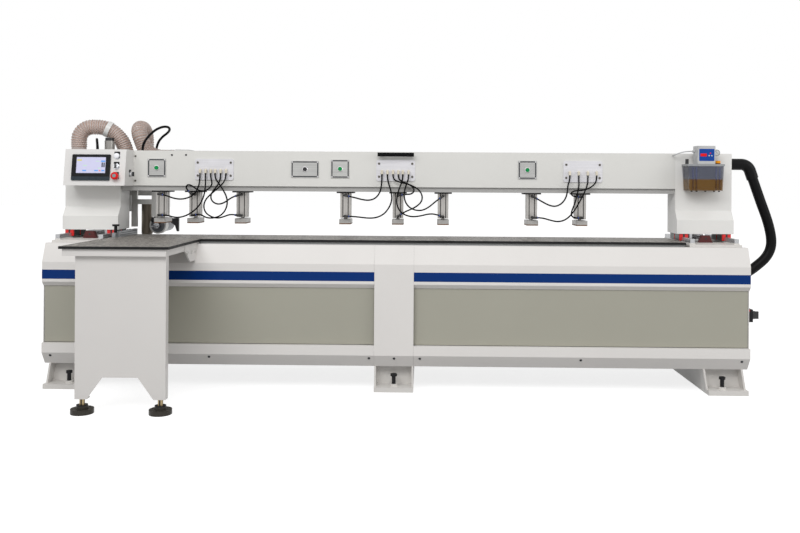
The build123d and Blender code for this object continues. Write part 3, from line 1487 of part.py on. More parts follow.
# Head frame: slider blocks, slotted plate, lift arm with its rod, spindle clamp and motor shelf
head_y = (head_front_y, head_rear_y)
left_bar_x = head_left_x + head_left_bar
right_bar_x = head_right_x - head_right_bar
cross_bar_top_z = cross_bar_z + cross_bar_height
lug_x = (right_bar_x, right_bar_x + clamp_lug_width)
clamp_y = (clamp_front_y, clamp_front_y + clamp_depth)
shelf_half = feed_motor_radius + feed_plate_margin
shelf_x = (feed_motor_x - shelf_half, feed_motor_x + shelf_half)
shelf_z = (cross_bar_z, cross_bar_z + feed_plate_height)
with BuildPart() as head_frame:
    for x in z_rail_x:
        block_y = (carriage_rear_y + z_block_lift, head_front_y)
        block_x = (x - z_block_width / 2, x + z_block_width / 2)
        block(block_x, block_y, (z_block_bottom_z, z_block_bottom_z + z_block_height))
        channel_x = (x - z_rail_width / 2 - slide_clearance, x + z_rail_width / 2 + slide_clearance)
        channel_y = (carriage_rear_y, carriage_rear_y + z_rail_depth + slide_clearance)
        block(channel_x, channel_y, (z_rail_bottom_z, z_rail_top_z), mode=Mode.SUBTRACT)
    block((head_left_x, head_right_x), head_y, (head_bottom_z, head_top_z))
    block((left_bar_x, right_bar_x), head_y, (head_bottom_z, cross_bar_z), mode=Mode.SUBTRACT)
    upper_window_z = (cross_bar_top_z, cross_bar_top_z + upper_window_height)
    block((left_bar_x, right_bar_x), head_y, upper_window_z, mode=Mode.SUBTRACT)
    block((right_bar_x, head_right_x), head_y, (head_bottom_z, right_bar_z), mode=Mode.SUBTRACT)
    block((arm_end_x, head_left_x), (head_front_y, head_front_y + arm_depth), (arm_z, arm_z + arm_height))
    rod((balance_x, balance_y, arm_z), (0, 0, 1), lift_rod_top_z - arm_z, lift_rod_radius)
    block(lug_x, (head_front_y, clamp_y[1]), (right_bar_z, right_bar_z + clamp_lug_height))
    rod((spindle_x, clamp_y[0], spindle_z), (0, 1, 0), clamp_depth, clamp_radius)
    block(lug_x, clamp_y, (spindle_z, right_bar_z))
    clamp_bore = spindle_radius + running_fit
    rod((spindle_x, clamp_y[0], spindle_z), (0, 1, 0), clamp_depth, clamp_bore, mode=Mode.SUBTRACT)
    block(shelf_x, (head_rear_y, feed_motor_y + shelf_half), shelf_z)
save(head_frame, "head_frame")

# Drilling spindle motor held in the clamp, and its collet with the bit
with BuildPart() as spindle_motor:
    spindle_nose = (spindle_x, spindle_front_y, spindle_z)
    rod(spindle_nose, (0, 1, 0), spindle_length, spindle_radius)
    fillet(spindle_motor.edges().group_by(Axis.Y)[-1], 5)
    rod(spindle_nose, (0, 1, 0), spindle_bore_depth, spindle_bore_radius, mode=Mode.SUBTRACT)
save(spindle_motor, "spindle_motor")

with BuildPart() as drill_spindle:
    collet_y = spindle_front_y - 2 - collet_length
    rod((spindle_x, collet_y, spindle_z), (0, 1, 0), collet_length, collet_radius)
    shaft_length = collet_length + 2 + spindle_bore_depth - 2
    rod((spindle_x, collet_y, spindle_z), (0, 1, 0), shaft_length, spindle_bore_radius - running_fit)
    rod((spindle_x, collet_y - bit_length, spindle_z), (0, 1, 0), bit_length + 5, bit_radius)
save(drill_spindle, "drill_spindle")

# Upright feed motor under its shelf
with BuildPart() as feed_motor:
    motor_height = shelf_z[0] - feed_motor_bottom_z
    rod((feed_motor_x, feed_motor_y, feed_motor_bottom_z), (0, 0, 1), motor_height, feed_motor_radius)
    fillet(feed_motor.edges().group_by(Axis.Z)[0], 6)
save(feed_motor, "feed_motor")

# Edge probe: a small air cylinder on the clamp lug, with an arm and a pointed blade
with BuildPart() as edge_probe:
    rod((probe_left_x, probe_y, probe_z), (1, 0, 0), probe_length, probe_radius)
    saddle_x = (lug_x[0] + 5, lug_x[0] + 5 + probe_saddle)
    block(saddle_x, (probe_y - probe_saddle / 2, probe_y + probe_saddle / 2), (probe_z, right_bar_z))
    arm_x = probe_left_x + probe_length
    arm_top_z = probe_z + probe_arm_height / 2
    arm_side_y = (probe_y - probe_blade_depth / 2, probe_y + probe_blade_depth / 2)
    block((arm_x, arm_x + probe_arm_length), arm_side_y, (arm_top_z - probe_arm_height, arm_top_z))
    blade_x = arm_x + probe_arm_length
    blade = [
        (blade_x, probe_blade_top_z),
        (blade_x, probe_z - probe_arm_height),
        (blade_x + probe_blade_width / 2, probe_z - 2 * probe_arm_height),
        (blade_x + probe_blade_width - probe_blade_tip, probe_blade_bottom_z),
        (blade_x + probe_blade_width, probe_blade_bottom_z),
        (blade_x + probe_blade_width, probe_blade_top_z),
    ]
    prism(blade, Plane.XZ.offset(-probe_y - probe_blade_depth / 2), probe_blade_depth)
save(edge_probe, "edge_probe")

# Dust manifold: plenum, rear duct, suction riser and side box, hollow, with hose spigots
spigot_radius = dust_hose_diameter / 2 - dust_rib_depth + spigot_wall
spigot_bore = dust_hose_diameter / 2 - dust_rib_depth - dust_wall
plenum_spigot = (dust_left_x, dust_left_y, plenum_top_z)
riser_spigot = (riser_x, riser_y, riser_top_z)
duct_spigot = (dust_rise_x, dust_drop_y, duct_top_z)
side_spigot = (side_box_left_x, dust_side_y, dust_side_z)
riser_half = riser_side / 2
chambers = [
    ((plenum_left_x, plenum_right_x), (carriage_rear_y, duct_rear_y), (plenum_bottom_z, plenum_top_z)),
    ((plenum_left_x, duct_right_x), (duct_front_y, duct_rear_y), (duct_bottom_z, duct_top_z)),
    ((riser_x - riser_half, riser_x + riser_half), (riser_y - riser_half, riser_y + riser_half),
     (riser_bottom_z, riser_top_z)),
    ((side_box_left_x, side_box_right_x), (carriage_rear_y, side_box_rear_y),
     (side_box_bottom_z, side_box_top_z)),
]
spigots = [
    (plenum_spigot, (0, 0, 1), spigot_radius),
    (riser_spigot, (0, 0, 1), spigot_radius),
    (duct_spigot, (0, 0, 1), spigot_radius),
    (side_spigot, (-1, 0, 0), spigot_radius),
]
outlet = (outlet_x, duct_rear_y, outlet_z)
with BuildPart() as dust_manifold:
    for x, y, z in chambers:
        block(x, y, z)
    bracket_z = (riser_top_z - riser_bracket_height, riser_top_z)
    block((riser_bracket_left, riser_bracket_right), (carriage_rear_y, riser_y - riser_half), bracket_z)
    for place, direction, radius in spigots:
        rod(place, direction, spigot_height, radius)
    rod(outlet, (0, 1, 0), outlet_length, outlet_radius)
    for x, y, z in chambers:
        inner_x = (x[0] + dust_wall, x[1] - dust_wall)
        inner_y = (y[0] + dust_wall, y[1] - dust_wall)
        block(inner_x, inner_y, (z[0] + dust_wall, z[1] - dust_wall), mode=Mode.SUBTRACT)
    for place, direction, radius in spigots:
        inward = Vector(*place) - Vector(*direction) * 2 * dust_wall
        rod(inward, direction, spigot_height + 2 * dust_wall, spigot_bore, mode=Mode.SUBTRACT)
    outlet_mouth = (outlet_x, duct_rear_y - 2 * dust_wall, outlet_z)
    rod(outlet_mouth, (0, 1, 0), outlet_length + 2 * dust_wall, outlet_radius - dust_wall, mode=Mode.SUBTRACT)
    mouth_x = (riser_x - riser_half + dust_wall, riser_x + riser_half - dust_wall)
    mouth_y = (riser_y - riser_half + dust_wall, riser_y + riser_half - dust_wall)
    block(mouth_x, mouth_y, (riser_bottom_z, riser_bottom_z + 2 * dust_wall), mode=Mode.SUBTRACT)
    mouth_z = (side_box_bottom_z, side_box_bottom_z + 2 * dust_wall)
    block((side_box_left_x + dust_wall, side_box_right_x - dust_wall),
          (carriage_rear_y + dust_wall, side_box_rear_y - dust_wall), mouth_z, mode=Mode.SUBTRACT)
    rod((*cable_a_end, plenum_top_z), (0, 0, 1), spigot_height, cable_gland_radius)
    rod((*cable_b_end, duct_top_z), (0, 0, 1), spigot_height, cable_gland_radius)
save(dust_manifold, "dust_manifold")

# Dust hoses and cables on the carriage, each from one spigot or gland to another
dust_route_1 = [
    (dust_left_x, dust_left_y, plenum_top_z + spigot_height),
    (dust_left_x, dust_left_y, dust_arch_z),
    (-1688, 262, dust_arch_z),
    (riser_x, riser_y, 1275),
    (riser_x, riser_y, riser_top_z + spigot_height),
]
dust_route_2 = [
    (side_box_left_x - spigot_height, dust_side_y, dust_side_z),
    (-1455, dust_side_y, dust_side_z),
    (dust_rise_x, dust_side_y, dust_arch_z),
    (dust_rise_x, dust_drop_y, dust_arch_z),
    (dust_rise_x, dust_drop_y, duct_top_z + spigot_height),
]
cable_route_a = [
    (cable_a_x, cable_y, carriage_top_z + cable_gland_height),
    (cable_a_x, cable_y, 1262), (-1720, 158, 1292), (-1740, 205, 1309), (-1757, 250, 1300),
    (-1763, 277, 1264),
    (*cable_a_end, 1216),
    (*cable_a_end, plenum_top_z + spigot_height),
]
cable_route_b = [
    (cable_b_x, cable_y, carriage_top_z + cable_gland_height),
    (cable_b_x, cable_y, 1270), (-1427, 140, 1314), (-1390, 152, 1355), (-1352, 172, 1378),
    (-1326, 205, 1380), (-1328, 245, 1366), (-1355, 285, 1348), (-1395, 322, 1330), (-1432, 356, 1300),
    (-1454, 385, 1255),
    (*cable_b_end, 1196),
    (*cable_b_end, duct_top_z + spigot_height),
]
dust_hose_1 = ribbed_hose("dust hose 1", dust_route_1, (0, 1, 0))
dust_hose_2 = ribbed_hose("dust hose 2", dust_route_2, (0.6, 0, 0.8))
with BuildPart() as carriage_hoses:
    add(dust_hose_1)
    add(dust_hose_2)
    tube("cable a", cable_route_a, cable_diameter)
    tube("cable b", cable_route_b, cable_diameter)
save(carriage_hoses, "carriage_hoses")
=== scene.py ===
import math
from functools import partial

import bmesh
import bpy
from mathutils import Matrix, Vector


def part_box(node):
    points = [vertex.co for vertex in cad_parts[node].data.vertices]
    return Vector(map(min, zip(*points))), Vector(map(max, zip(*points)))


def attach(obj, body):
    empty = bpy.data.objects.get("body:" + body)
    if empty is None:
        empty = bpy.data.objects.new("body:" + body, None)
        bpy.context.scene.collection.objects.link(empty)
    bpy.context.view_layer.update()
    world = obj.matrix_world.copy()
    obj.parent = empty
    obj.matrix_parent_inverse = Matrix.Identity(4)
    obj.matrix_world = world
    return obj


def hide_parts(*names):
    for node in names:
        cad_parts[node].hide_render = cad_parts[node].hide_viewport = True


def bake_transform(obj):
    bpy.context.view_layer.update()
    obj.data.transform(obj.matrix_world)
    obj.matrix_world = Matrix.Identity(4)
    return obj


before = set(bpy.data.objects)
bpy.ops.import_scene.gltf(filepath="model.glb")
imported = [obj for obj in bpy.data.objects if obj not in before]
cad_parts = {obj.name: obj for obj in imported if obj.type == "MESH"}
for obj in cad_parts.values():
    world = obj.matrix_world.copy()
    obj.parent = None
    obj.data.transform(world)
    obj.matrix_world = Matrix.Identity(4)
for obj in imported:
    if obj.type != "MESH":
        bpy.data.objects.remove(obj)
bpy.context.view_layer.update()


# Camera: it stands in front of the machine at the operator's chest height and looks along +Y,
# with a slight roll, and with the lens shifted down to frame the bed.
def put_in_scene(name, data):
    """A new object that holds the given data, linked into the scene."""
    holder = bpy.data.objects.new(name, data)
    bpy.context.scene.collection.objects.link(holder)
    return holder


to_top = Vector((0, 0, 1))
camera_place = Vector((0.1467, -4.597, 1.0654))
camera_yaw = math.radians(0.876)
camera_roll = math.radians(0.367)
sight = Vector((-math.sin(camera_yaw), math.cos(camera_yaw), 0))
level = Vector((math.cos(camera_yaw), math.sin(camera_yaw), 0))
camera_right = level * math.cos(camera_roll) + to_top * math.sin(camera_roll)
camera_up = to_top * math.cos(camera_roll) - level * math.sin(camera_roll)
camera_data = bpy.data.cameras.new("camera")
camera_data.lens = 37.67
camera_data.sensor_width = 36
camera_data.shift_x = -0.0135
camera_data.shift_y = -0.1045
camera = put_in_scene("camera", camera_data)
camera_turn = Matrix((camera_right, camera_up, -sight)).transposed().to_4x4()
camera.matrix_world = Matrix.Translation(camera_place) @ camera_turn
bpy.context.scene.camera = camera
bpy.context.scene.view_settings.view_transform = "Standard"


# Studio: one broad soft lamp above the operator, a weaker one from the right, an even sky,
# and a white floor that shows white to the lens but still takes the machine's shadow.
def set_inputs(tree, node, inputs):
    """Link each input that is given a socket, and set each of the others."""
    for socket, value in inputs.items():
        if isinstance(value, bpy.types.NodeSocket):
            tree.links.new(value, node.inputs[socket])
        else:
            node.inputs[socket].default_value = value


def add_node(tree, kind, inputs=None, **settings):
    """A new node with its settings and its inputs."""
    node = tree.nodes.new(kind)
    for name, value in settings.items():
        setattr(node, name, value)
    set_inputs(tree, node, inputs or {})
    return node


def calculate(tree, operation, first, second=0.0, **settings):
    """The result of one sum on two values."""
    values = {0: first, 1: second}
    return add_node(tree, "ShaderNodeMath", values, operation=operation, **settings).outputs[0]


def remap(tree, value, low, high, new_low=0.0, new_high=1.0):
    """A value carried over from one range to another."""
    ranges = {"Value": value, "From Min": low, "From Max": high, "To Min": new_low, "To Max": new_high}
    return add_node(tree, "ShaderNodeMapRange", ranges).outputs[0]


def seen_directly(tree):
    """1 for rays that reach the lens, a mirror or a glass, 0 for rays that only carry light."""
    path = add_node(tree, "ShaderNodeLightPath").outputs
    seen = path["Is Camera Ray"]
    for ray in ("Is Glossy Ray", "Is Transmission Ray"):
        seen = calculate(tree, "MAXIMUM", seen, path[ray])
    return seen


def area_lamp(name, place, target, width, height, power):
    """A soft rectangular lamp that points at a target."""
    lamp = bpy.data.lights.new(name, "AREA")
    lamp.shape = "RECTANGLE"
    lamp.size = width
    lamp.size_y = height
    lamp.energy = power
    holder = put_in_scene(name, lamp)
    holder.location = place
    holder.rotation_euler = (Vector(target) - Vector(place)).to_track_quat("-Z", "Y").to_euler()


def new_material(name):
    """A new material with its node tree and its Principled shader."""
    material = bpy.data.materials.new(name)
    material.use_nodes = True
    return material, material.node_tree, material.node_tree.nodes["Principled BSDF"]


area_lamp("key_lamp", (-1.0, -4.6, 4.4), (0, -0.2, 0.6), width=6.0, height=2.5, power=208)
area_lamp("side_lamp", (5.2, -2.6, 2.6), (0.5, 0, 0.7), width=2.5, height=2.5, power=57)
white = (1, 1, 1, 1)
sky_level = 0.49
sky = bpy.data.worlds.new("studio_sky")
sky.use_nodes = True
sky_tree = sky.node_tree
sky_strength = remap(sky_tree, seen_directly(sky_tree), 0.0, 1.0, sky_level, 1.0)
set_inputs(sky_tree, sky_tree.nodes["Background"], {"Color": white, "Strength": sky_strength})
bpy.context.scene.world = sky

floor_half = 30
floor_grey = (0.42, 0.42, 0.42, 1)
floor_glow = 0.8
floor_mesh = bpy.data.meshes.new("floor")
floor_corners = [(x * floor_half, y * floor_half, 0) for x, y in ((-1, -1), (1, -1), (1, 1), (-1, 1))]
floor_mesh.from_pydata(floor_corners, [], [(0, 1, 2, 3)])
floor_white, floor_tree, floor_shader = new_material("floor_white")
floor_lift = calculate(floor_tree, "MULTIPLY", seen_directly(floor_tree), floor_glow)
set_inputs(floor_tree, floor_shader, {
    "Base Color": floor_grey, "Roughness": 0.9, "Emission Color": white, "Emission Strength": floor_lift,
})
floor_mesh.materials.append(floor_white)
floor = put_in_scene("floor", floor_mesh)


# Air hoses: sixteen black polyurethane tubes, 8 mm outside, pushed into the cream elbows of
# the manifolds and into the elbows of the press cylinders, hanging in loose loops between.
def ink(red, green, blue):
    """A colour given in 0-255 screen values, as linear light."""
    light = []
    for value in (red, green, blue):
        share = value / 255
        light.append(share / 12.92 if share < 0.04045 else ((share + 0.055) / 1.055) ** 2.4)
    return (*light, 1.0)


def noise(tree, place, scale, detail=2.0, roughness=0.5):
    """A cloudy pattern between 0 and 1."""
    inputs = {"Vector": place, "Scale": scale, "Detail": detail, "Roughness": roughness}
    return add_node(tree, "ShaderNodeTexNoise", inputs).outputs["Fac"]


def mix_colours(tree, share, first, second, way="MIX"):
    """Two colours brought together, with a share of the second."""
    inputs = {0: share, 6: first, 7: second}
    return add_node(tree, "ShaderNodeMix", inputs, data_type="RGBA", blend_type=way).outputs[2]


def mix_values(tree, share, first, second):
    """Two values brought together, with a share of the second."""
    return add_node(tree, "ShaderNodeMix", {0: share, 2: first, 3: second}).outputs[0]


def new_group(name, kind, *sockets):
    """A node group with named inputs and outputs; a socket is its name, its way, its kind and, where
    it has one, its value."""
    group = bpy.data.node_groups.new(name, kind)
    for label, way, content, *value in sockets:
        socket = group.interface.new_socket(label, in_out=way, socket_type="NodeSocket" + content)
        if value:
            socket.default_value = value[0]
    return group, add_node(group, "NodeGroupInput").outputs


def effect_group(name, extra):
    """An empty surface effect: a colour and a roughness go in, varied ones and a height come out."""
    group, given = new_group(
        name, "ShaderNodeTree", ("Colour", "INPUT", "Color"), ("Roughness", "INPUT", "Float"), extra,
        ("Colour", "OUTPUT", "Color"), ("Roughness", "OUTPUT", "Float"), ("Height", "OUTPUT", "Float"),
    )
    return group, given, add_node(group, "ShaderNodeTexCoord").outputs["Object"]


def vary(tree, value, middle, spread):
    """A 0-1 pattern mapped to middle plus or minus spread."""
    return remap(tree, value, 0.25, 0.75, middle - spread, middle + spread)


def close_effect(group, given, shade, smear, height):
    """Multiply the colour by a shade, shift the roughness by a smear, and pass the height out."""
    tinted = mix_colours(group, 1.0, given["Colour"], shade, "MULTIPLY")
    rough = calculate(group, "ADD", given["Roughness"], smear, use_clamp=True)
    add_node(group, "NodeGroupOutput", {"Colour": tinted, "Roughness": rough, "Height": height})
    return group


def moulded_effect():
    """Moulded plastic or rubber: a fine grain, faint flow clouds and finger smears."""
    group, given, place = effect_group("moulded_plastic", ("Grain", "INPUT", "Float", 900.0))
    cloud = noise(group, place, 14.0, 4.0)
    smear = noise(group, place, 38.0, 6.0)
    grain = noise(group, place, given["Grain"])
    return close_effect(group, given, vary(group, cloud, 1.0, 0.1), vary(group, smear, 0.0, 0.1), grain)


def box_mask_group():
    """1 inside a box of the piece's own space, 0 outside."""
    group, given = new_group(
        "inside_box", "ShaderNodeTree",
        ("Centre", "INPUT", "Vector"), ("Half Size", "INPUT", "Vector"), ("Mask", "OUTPUT", "Float"),
    )

    def less(first, second):
        inputs = {0: first, 1: second}
        return add_node(group, "ShaderNodeVectorMath", inputs, operation="SUBTRACT").outputs[0]

    place = add_node(group, "ShaderNodeTexCoord").outputs["Object"]
    offset = less(place, given["Centre"])
    apart = add_node(group, "ShaderNodeVectorMath", {0: offset}, operation="ABSOLUTE").outputs[0]
    room = add_node(group, "ShaderNodeSeparateXYZ", {0: less(given["Half Size"], apart)}).outputs
    least = calculate(group, "MINIMUM", calculate(group, "MINIMUM", room[0], room[1]), room[2])
    add_node(group, "NodeGroupOutput", {"Mask": calculate(group, "GREATER_THAN", least, 0.0)})
    return group


inside_box = box_mask_group()


def finish(effect, name, colour, roughness, metallic=0.0, bump=0.1, shine=0.5, marks=(), grain=None, **plain):
    """A material: one surface effect on a Principled shader, with other finishes inside marked boxes.
    A mark is its low corner, its high corner, its colour, its roughness and how metallic it is."""
    material, tree, shader = new_material(name)
    colour = ink(*colour)
    for low, high, mark_colour, mark_roughness, mark_metallic in marks:
        low, high = Vector(low), Vector(high)
        box = {"Centre": (low + high) / 2, "Half Size": (high - low) / 2}
        share = add_node(tree, "ShaderNodeGroup", box, node_tree=inside_box).outputs["Mask"]
        colour = mix_colours(tree, share, colour, ink(*mark_colour))
        roughness = mix_values(tree, share, roughness, mark_roughness)
        metallic = mix_values(tree, share, metallic, mark_metallic)
    inputs = {"Colour": colour, "Roughness": roughness}
    if grain:
        inputs["Grain"] = grain
    varied = add_node(tree, "ShaderNodeGroup", inputs, node_tree=effect).outputs
    relief = {"Height": varied["Height"], "Strength": bump, "Distance": 0.001}
    normal = add_node(tree, "ShaderNodeBump", relief).outputs["Normal"]
    set_inputs(tree, shader, {
        "Base Color": varied["Colour"], "Roughness": varied["Roughness"], "Metallic": metallic,
        "Normal": normal, "Specular IOR Level": shine, **plain,
    })
    return material


plastic = partial(finish, moulded_effect())


def route_curve(name, points, radius, kind="NURBS", roundness=4):
    """A line along the run of a cord, smooth past its points or straight from one to the next."""
    curve = bpy.data.curves.new(name, "CURVE")
    curve.dimensions = "3D"
    line = curve.splines.new(kind)
    line.points.add(len(points) - 1)
    for point, place in zip(line.points, points):
        point.co = (*place, 1.0)
    line.order_u = 3
    line.use_endpoint_u = True
    line.resolution_u = 8
    curve.bevel_depth = radius
    curve.bevel_resolution = roundness
    curve.use_fill_caps = radius > 0
    return put_in_scene(name, curve)


air_hose_diameter = 0.008
hose_black = plastic("air_hose_black", (6, 6, 7), 0.5, bump=0.05, shine=0.08)
elbow_y, elbow_mouth_z, straight_end_z = -0.077, 1.112, 1.086
# Each hose: the x of the elbow that it leaves straight down, its length, and its bends to the port.
air_runs = [
    (-1.066, 0.307, [(-1.069, -0.081, 1.046), (-1.085, -0.084, 1.006), (-1.117, -0.085, 0.98),
     (-1.163, -0.085, 0.968), (-1.209, -0.082, 0.974), (-1.245, -0.077, 0.9877), (-1.27, -0.077, 0.9922)]),
    (-1.036, 0.421, [(-1.029, -0.101, 1.046), (-1.033, -0.107, 0.994), (-1.056, -0.107, 0.94),
     (-1.096, -0.106, 0.901), (-1.137, -0.104, 0.879), (-1.176, -0.096, 0.87), (-1.212, -0.083, 0.873),
     (-1.244, -0.077, 0.882), (-1.27, -0.077, 0.882)]),
    (-1.008, 0.267, [(-0.995, -0.085, 1.054), (-1.014, -0.089, 1.024), (-1.047, -0.092, 1.012),
     (-1.079, -0.095, 1.023), (-1.105, -0.088, 1.043), (-1.132, -0.082, 1.05), (-1.144, -0.077, 1.03),
     (-1.126, -0.077, 1.012)]),
    (-0.984, 0.42, [(-0.962, -0.096, 1.06), (-0.933, -0.104, 1.022), (-0.913, -0.106, 0.985),
     (-0.908, -0.106, 0.946), (-0.921, -0.106, 0.908), (-0.948, -0.106, 0.88), (-0.988, -0.106, 0.868),
     (-1.029, -0.095, 0.871), (-1.063, -0.077, 0.8903), (-1.088, -0.077, 0.8858)]),
    (-0.954, 0.31, [(-0.962, -0.079, 1.056), (-0.983, -0.08, 1.028), (-1.003, -0.08, 1.001),
     (-1.006, -0.08, 0.974), (-0.991, -0.08, 0.952), (-0.963, -0.08, 0.942), (-0.93, -0.08, 0.952),
     (-0.8951, -0.077, 0.9796), (-0.8707, -0.077, 0.9885)]),
    (-0.925, 0.431, [(-0.938, -0.085, 1.055), (-0.97, -0.093, 1.025), (-1.01, -0.094, 0.991),
     (-1.034, -0.094, 0.962), (-1.041, -0.094, 0.929), (-1.03, -0.093, 0.897), (-1.002, -0.09, 0.876),
     (-0.964, -0.091, 0.867), (-0.93, -0.088, 0.877), (-0.8973, -0.077, 0.8903),
     (-0.8717, -0.077, 0.8858)]),
    (-0.079, 0.289, [(-0.08, -0.079, 1.052), (-0.088, -0.08, 1.012), (-0.113, -0.08, 0.98),
     (-0.147, -0.08, 0.969), (-0.184, -0.08, 0.973), (-0.233, -0.077, 0.986), (-0.2585, -0.077, 0.9914)]),
    (-0.049, 0.428, [(-0.038, -0.081, 1.05), (-0.027, -0.085, 1.013), (-0.023, -0.086, 0.975),
     (-0.035, -0.086, 0.936), (-0.063, -0.086, 0.898), (-0.101, -0.086, 0.878), (-0.141, -0.085, 0.873),
     (-0.183, -0.081, 0.877), (-0.232, -0.077, 0.882), (-0.258, -0.077, 0.882)]),
    (-0.019, 0.38, [(0.012, -0.084, 1.07), (0.05, -0.088, 1.062), (0.088, -0.091, 1.05),
     (0.12, -0.092, 1.03), (0.14, -0.093, 1.001), (0.139, -0.093, 0.969), (0.117, -0.093, 0.944),
     (0.085, -0.089, 0.925), (0.0463, -0.077, 0.9095), (0.025, -0.077, 0.8946)]),
    (0.01, 0.21, [(0.036, -0.076, 1.07), (0.07, -0.077, 1.057), (0.094, -0.078, 1.038),
     (0.095, -0.078, 1.016), (0.077, -0.077, 1.004), (0.0543, -0.077, 1.004), (0.0287, -0.077, 0.9998)]),
    (0.034, 0.447, [(0.028, -0.105, 1.064), (0.014, -0.115, 1.028), (0.004, -0.119, 0.989),
     (0.003, -0.119, 0.952), (0.017, -0.119, 0.917), (0.047, -0.119, 0.893), (0.089, -0.118, 0.883),
     (0.133, -0.11, 0.889), (0.174, -0.094, 0.899), (0.2089, -0.077, 0.8984), (0.2333, -0.077, 0.8895)]),
    (0.065, 0.389, [(0.056, -0.101, 1.063), (0.045, -0.107, 1.027), (0.042, -0.107, 0.988),
     (0.052, -0.106, 0.956), (0.074, -0.106, 0.931), (0.108, -0.106, 0.917), (0.147, -0.104, 0.919),
     (0.182, -0.093, 0.94), (0.2147, -0.077, 0.9685), (0.236, -0.077, 0.9834)]),
    (0.934, 0.308, [(0.923, -0.078, 1.058), (0.921, -0.08, 1.021), (0.911, -0.08, 0.985),
     (0.889, -0.08, 0.957), (0.856, -0.08, 0.942), (0.82, -0.079, 0.95), (0.7796, -0.077, 0.972),
     (0.7571, -0.077, 0.985)]),
    (0.982, 0.269, [(0.982, -0.085, 1.056), (0.974, -0.091, 1.018), (0.964, -0.093, 0.98),
     (0.953, -0.093, 0.945), (0.942, -0.09, 0.918), (0.941, -0.083, 0.897), (0.956, -0.077, 0.882),
     (0.982, -0.077, 0.882)]),
    (1.031, 0.434, [(1.024, -0.093, 1.056), (1.007, -0.103, 1.018), (0.987, -0.106, 0.98),
     (0.966, -0.106, 0.941), (0.941, -0.106, 0.904), (0.909, -0.105, 0.873), (0.869, -0.102, 0.861),
     (0.83, -0.091, 0.869), (0.786, -0.077, 0.882), (0.76, -0.077, 0.882)]),
    (1.078, 0.237, [(1.065, -0.078, 1.062), (1.041, -0.078, 1.044), (1.012, -0.078, 1.033),
     (0.981, -0.078, 1.03), (0.952, -0.078, 1.027), (0.939, -0.078, 1.012), (0.956, -0.077, 0.996),
     (0.982, -0.077, 0.996)]),
]
air_routes = []
for number, (elbow_x, length, bends) in enumerate(air_runs, 1):
    route = [(elbow_x, elbow_y, elbow_mouth_z), (elbow_x, elbow_y, straight_end_z), *bends]
    air_routes.append(route)
    hose = route_curve(f"air_hose_{number}", route, air_hose_diameter / 2)
    hose.data.materials.append(hose_black)
    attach(hose, "gantry")
    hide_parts("air_hoses")


# Flexible conduit: a smooth black jacket over the cables that join the gantry to the bed,
# 53 mm outside, held in a gland at each end.
def route_line(points):
    """The places along the smooth line of a route."""
    bare = route_curve("route", points, 0)
    mesh = bpy.data.meshes.new_from_object(bare)
    places = [vertex.co.copy() for vertex in mesh.vertices]
    bpy.data.meshes.remove(mesh)
    bpy.data.curves.remove(bare.data)
    return places


def plain_mesh(source, name):
    """The finished shape of an object as a plain mesh object, in place of that object."""
    graph = bpy.context.evaluated_depsgraph_get()
    mesh = bpy.data.meshes.new_from_object(source.evaluated_get(graph))
    data = source.data
    store = bpy.data.curves if isinstance(data, bpy.types.Curve) else bpy.data.meshes
    bpy.data.objects.remove(source)
    store.remove(data)
    mesh.name = name
    return put_in_scene(name, mesh)


conduit_diameter = 0.053
conduit_route = [
    (1.942, 0, 1.1), (1.9825, 0, 0.983), (2.026, 0, 0.868), (2.046, 0, 0.78), (2.044, 0, 0.721),
    (2.016, 0, 0.668), (1.973, 0, 0.63), (1.932, 0, 0.598), (1.898, 0, 0.58), (1.862, 0, 0.58),
]
conduit_black = plastic("conduit_black", (8, 8, 9), 0.42, bump=0.04, shine=0.1)
conduit_curve = route_curve("conduit_curve", conduit_route, conduit_diameter / 2, roundness=12)
conduit = plain_mesh(conduit_curve, "flexible_conduit")
conduit.data.materials.clear()
conduit.data.materials.append(conduit_black)
conduit.data.shade_smooth()
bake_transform(conduit)
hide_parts("conduit_hose")
route_line(conduit_route)

# Dust hoses: two clear ribbed hoses, 89 mm over the ribs, with a copper-coloured wire in every
# rib and plain cuffs held on the spigots of the dust manifold by steel clips.
arc_steps = 16


def bent_line(points, share=0.45):
    """The places along straight runs joined by tangent arcs, each arc taking a share of its shorter run."""
    corners = [Vector(point) for point in points]
    places = [corners[0]]
    for before, here, after in zip(corners, corners[1:], corners[2:]):
        reach = share * min((here - before).length, (after - here).length)
        arriving = (here - before).normalized()
        leaving = (after - here).normalized()
        turn = arriving.angle(leaving)
        radius = reach / math.tan(turn / 2)
        inward = (leaving - arriving * arriving.dot(leaving)).normalized()
        middle = here - arriving * reach + inward * radius
        for step in range(arc_steps + 1):
            angle = turn * step / arc_steps
            places.append(middle + (arriving * math.sin(angle) - inward * math.cos(angle)) * radius)
    return [*places, corners[-1]]


def close_tree(tree, shape, given, label):
    """End a tree: make its shape real, give it its finish and pass it out."""
    real = add_node(tree, "GeometryNodeRealizeInstances", {0: shape.outputs[0]})
    dressed = add_node(tree, "GeometryNodeSetMaterial", {0: real.outputs[0], "Material": given["Finish"]})
    add_node(tree, "NodeGroupOutput", {label: dressed.outputs[0]})
    return tree


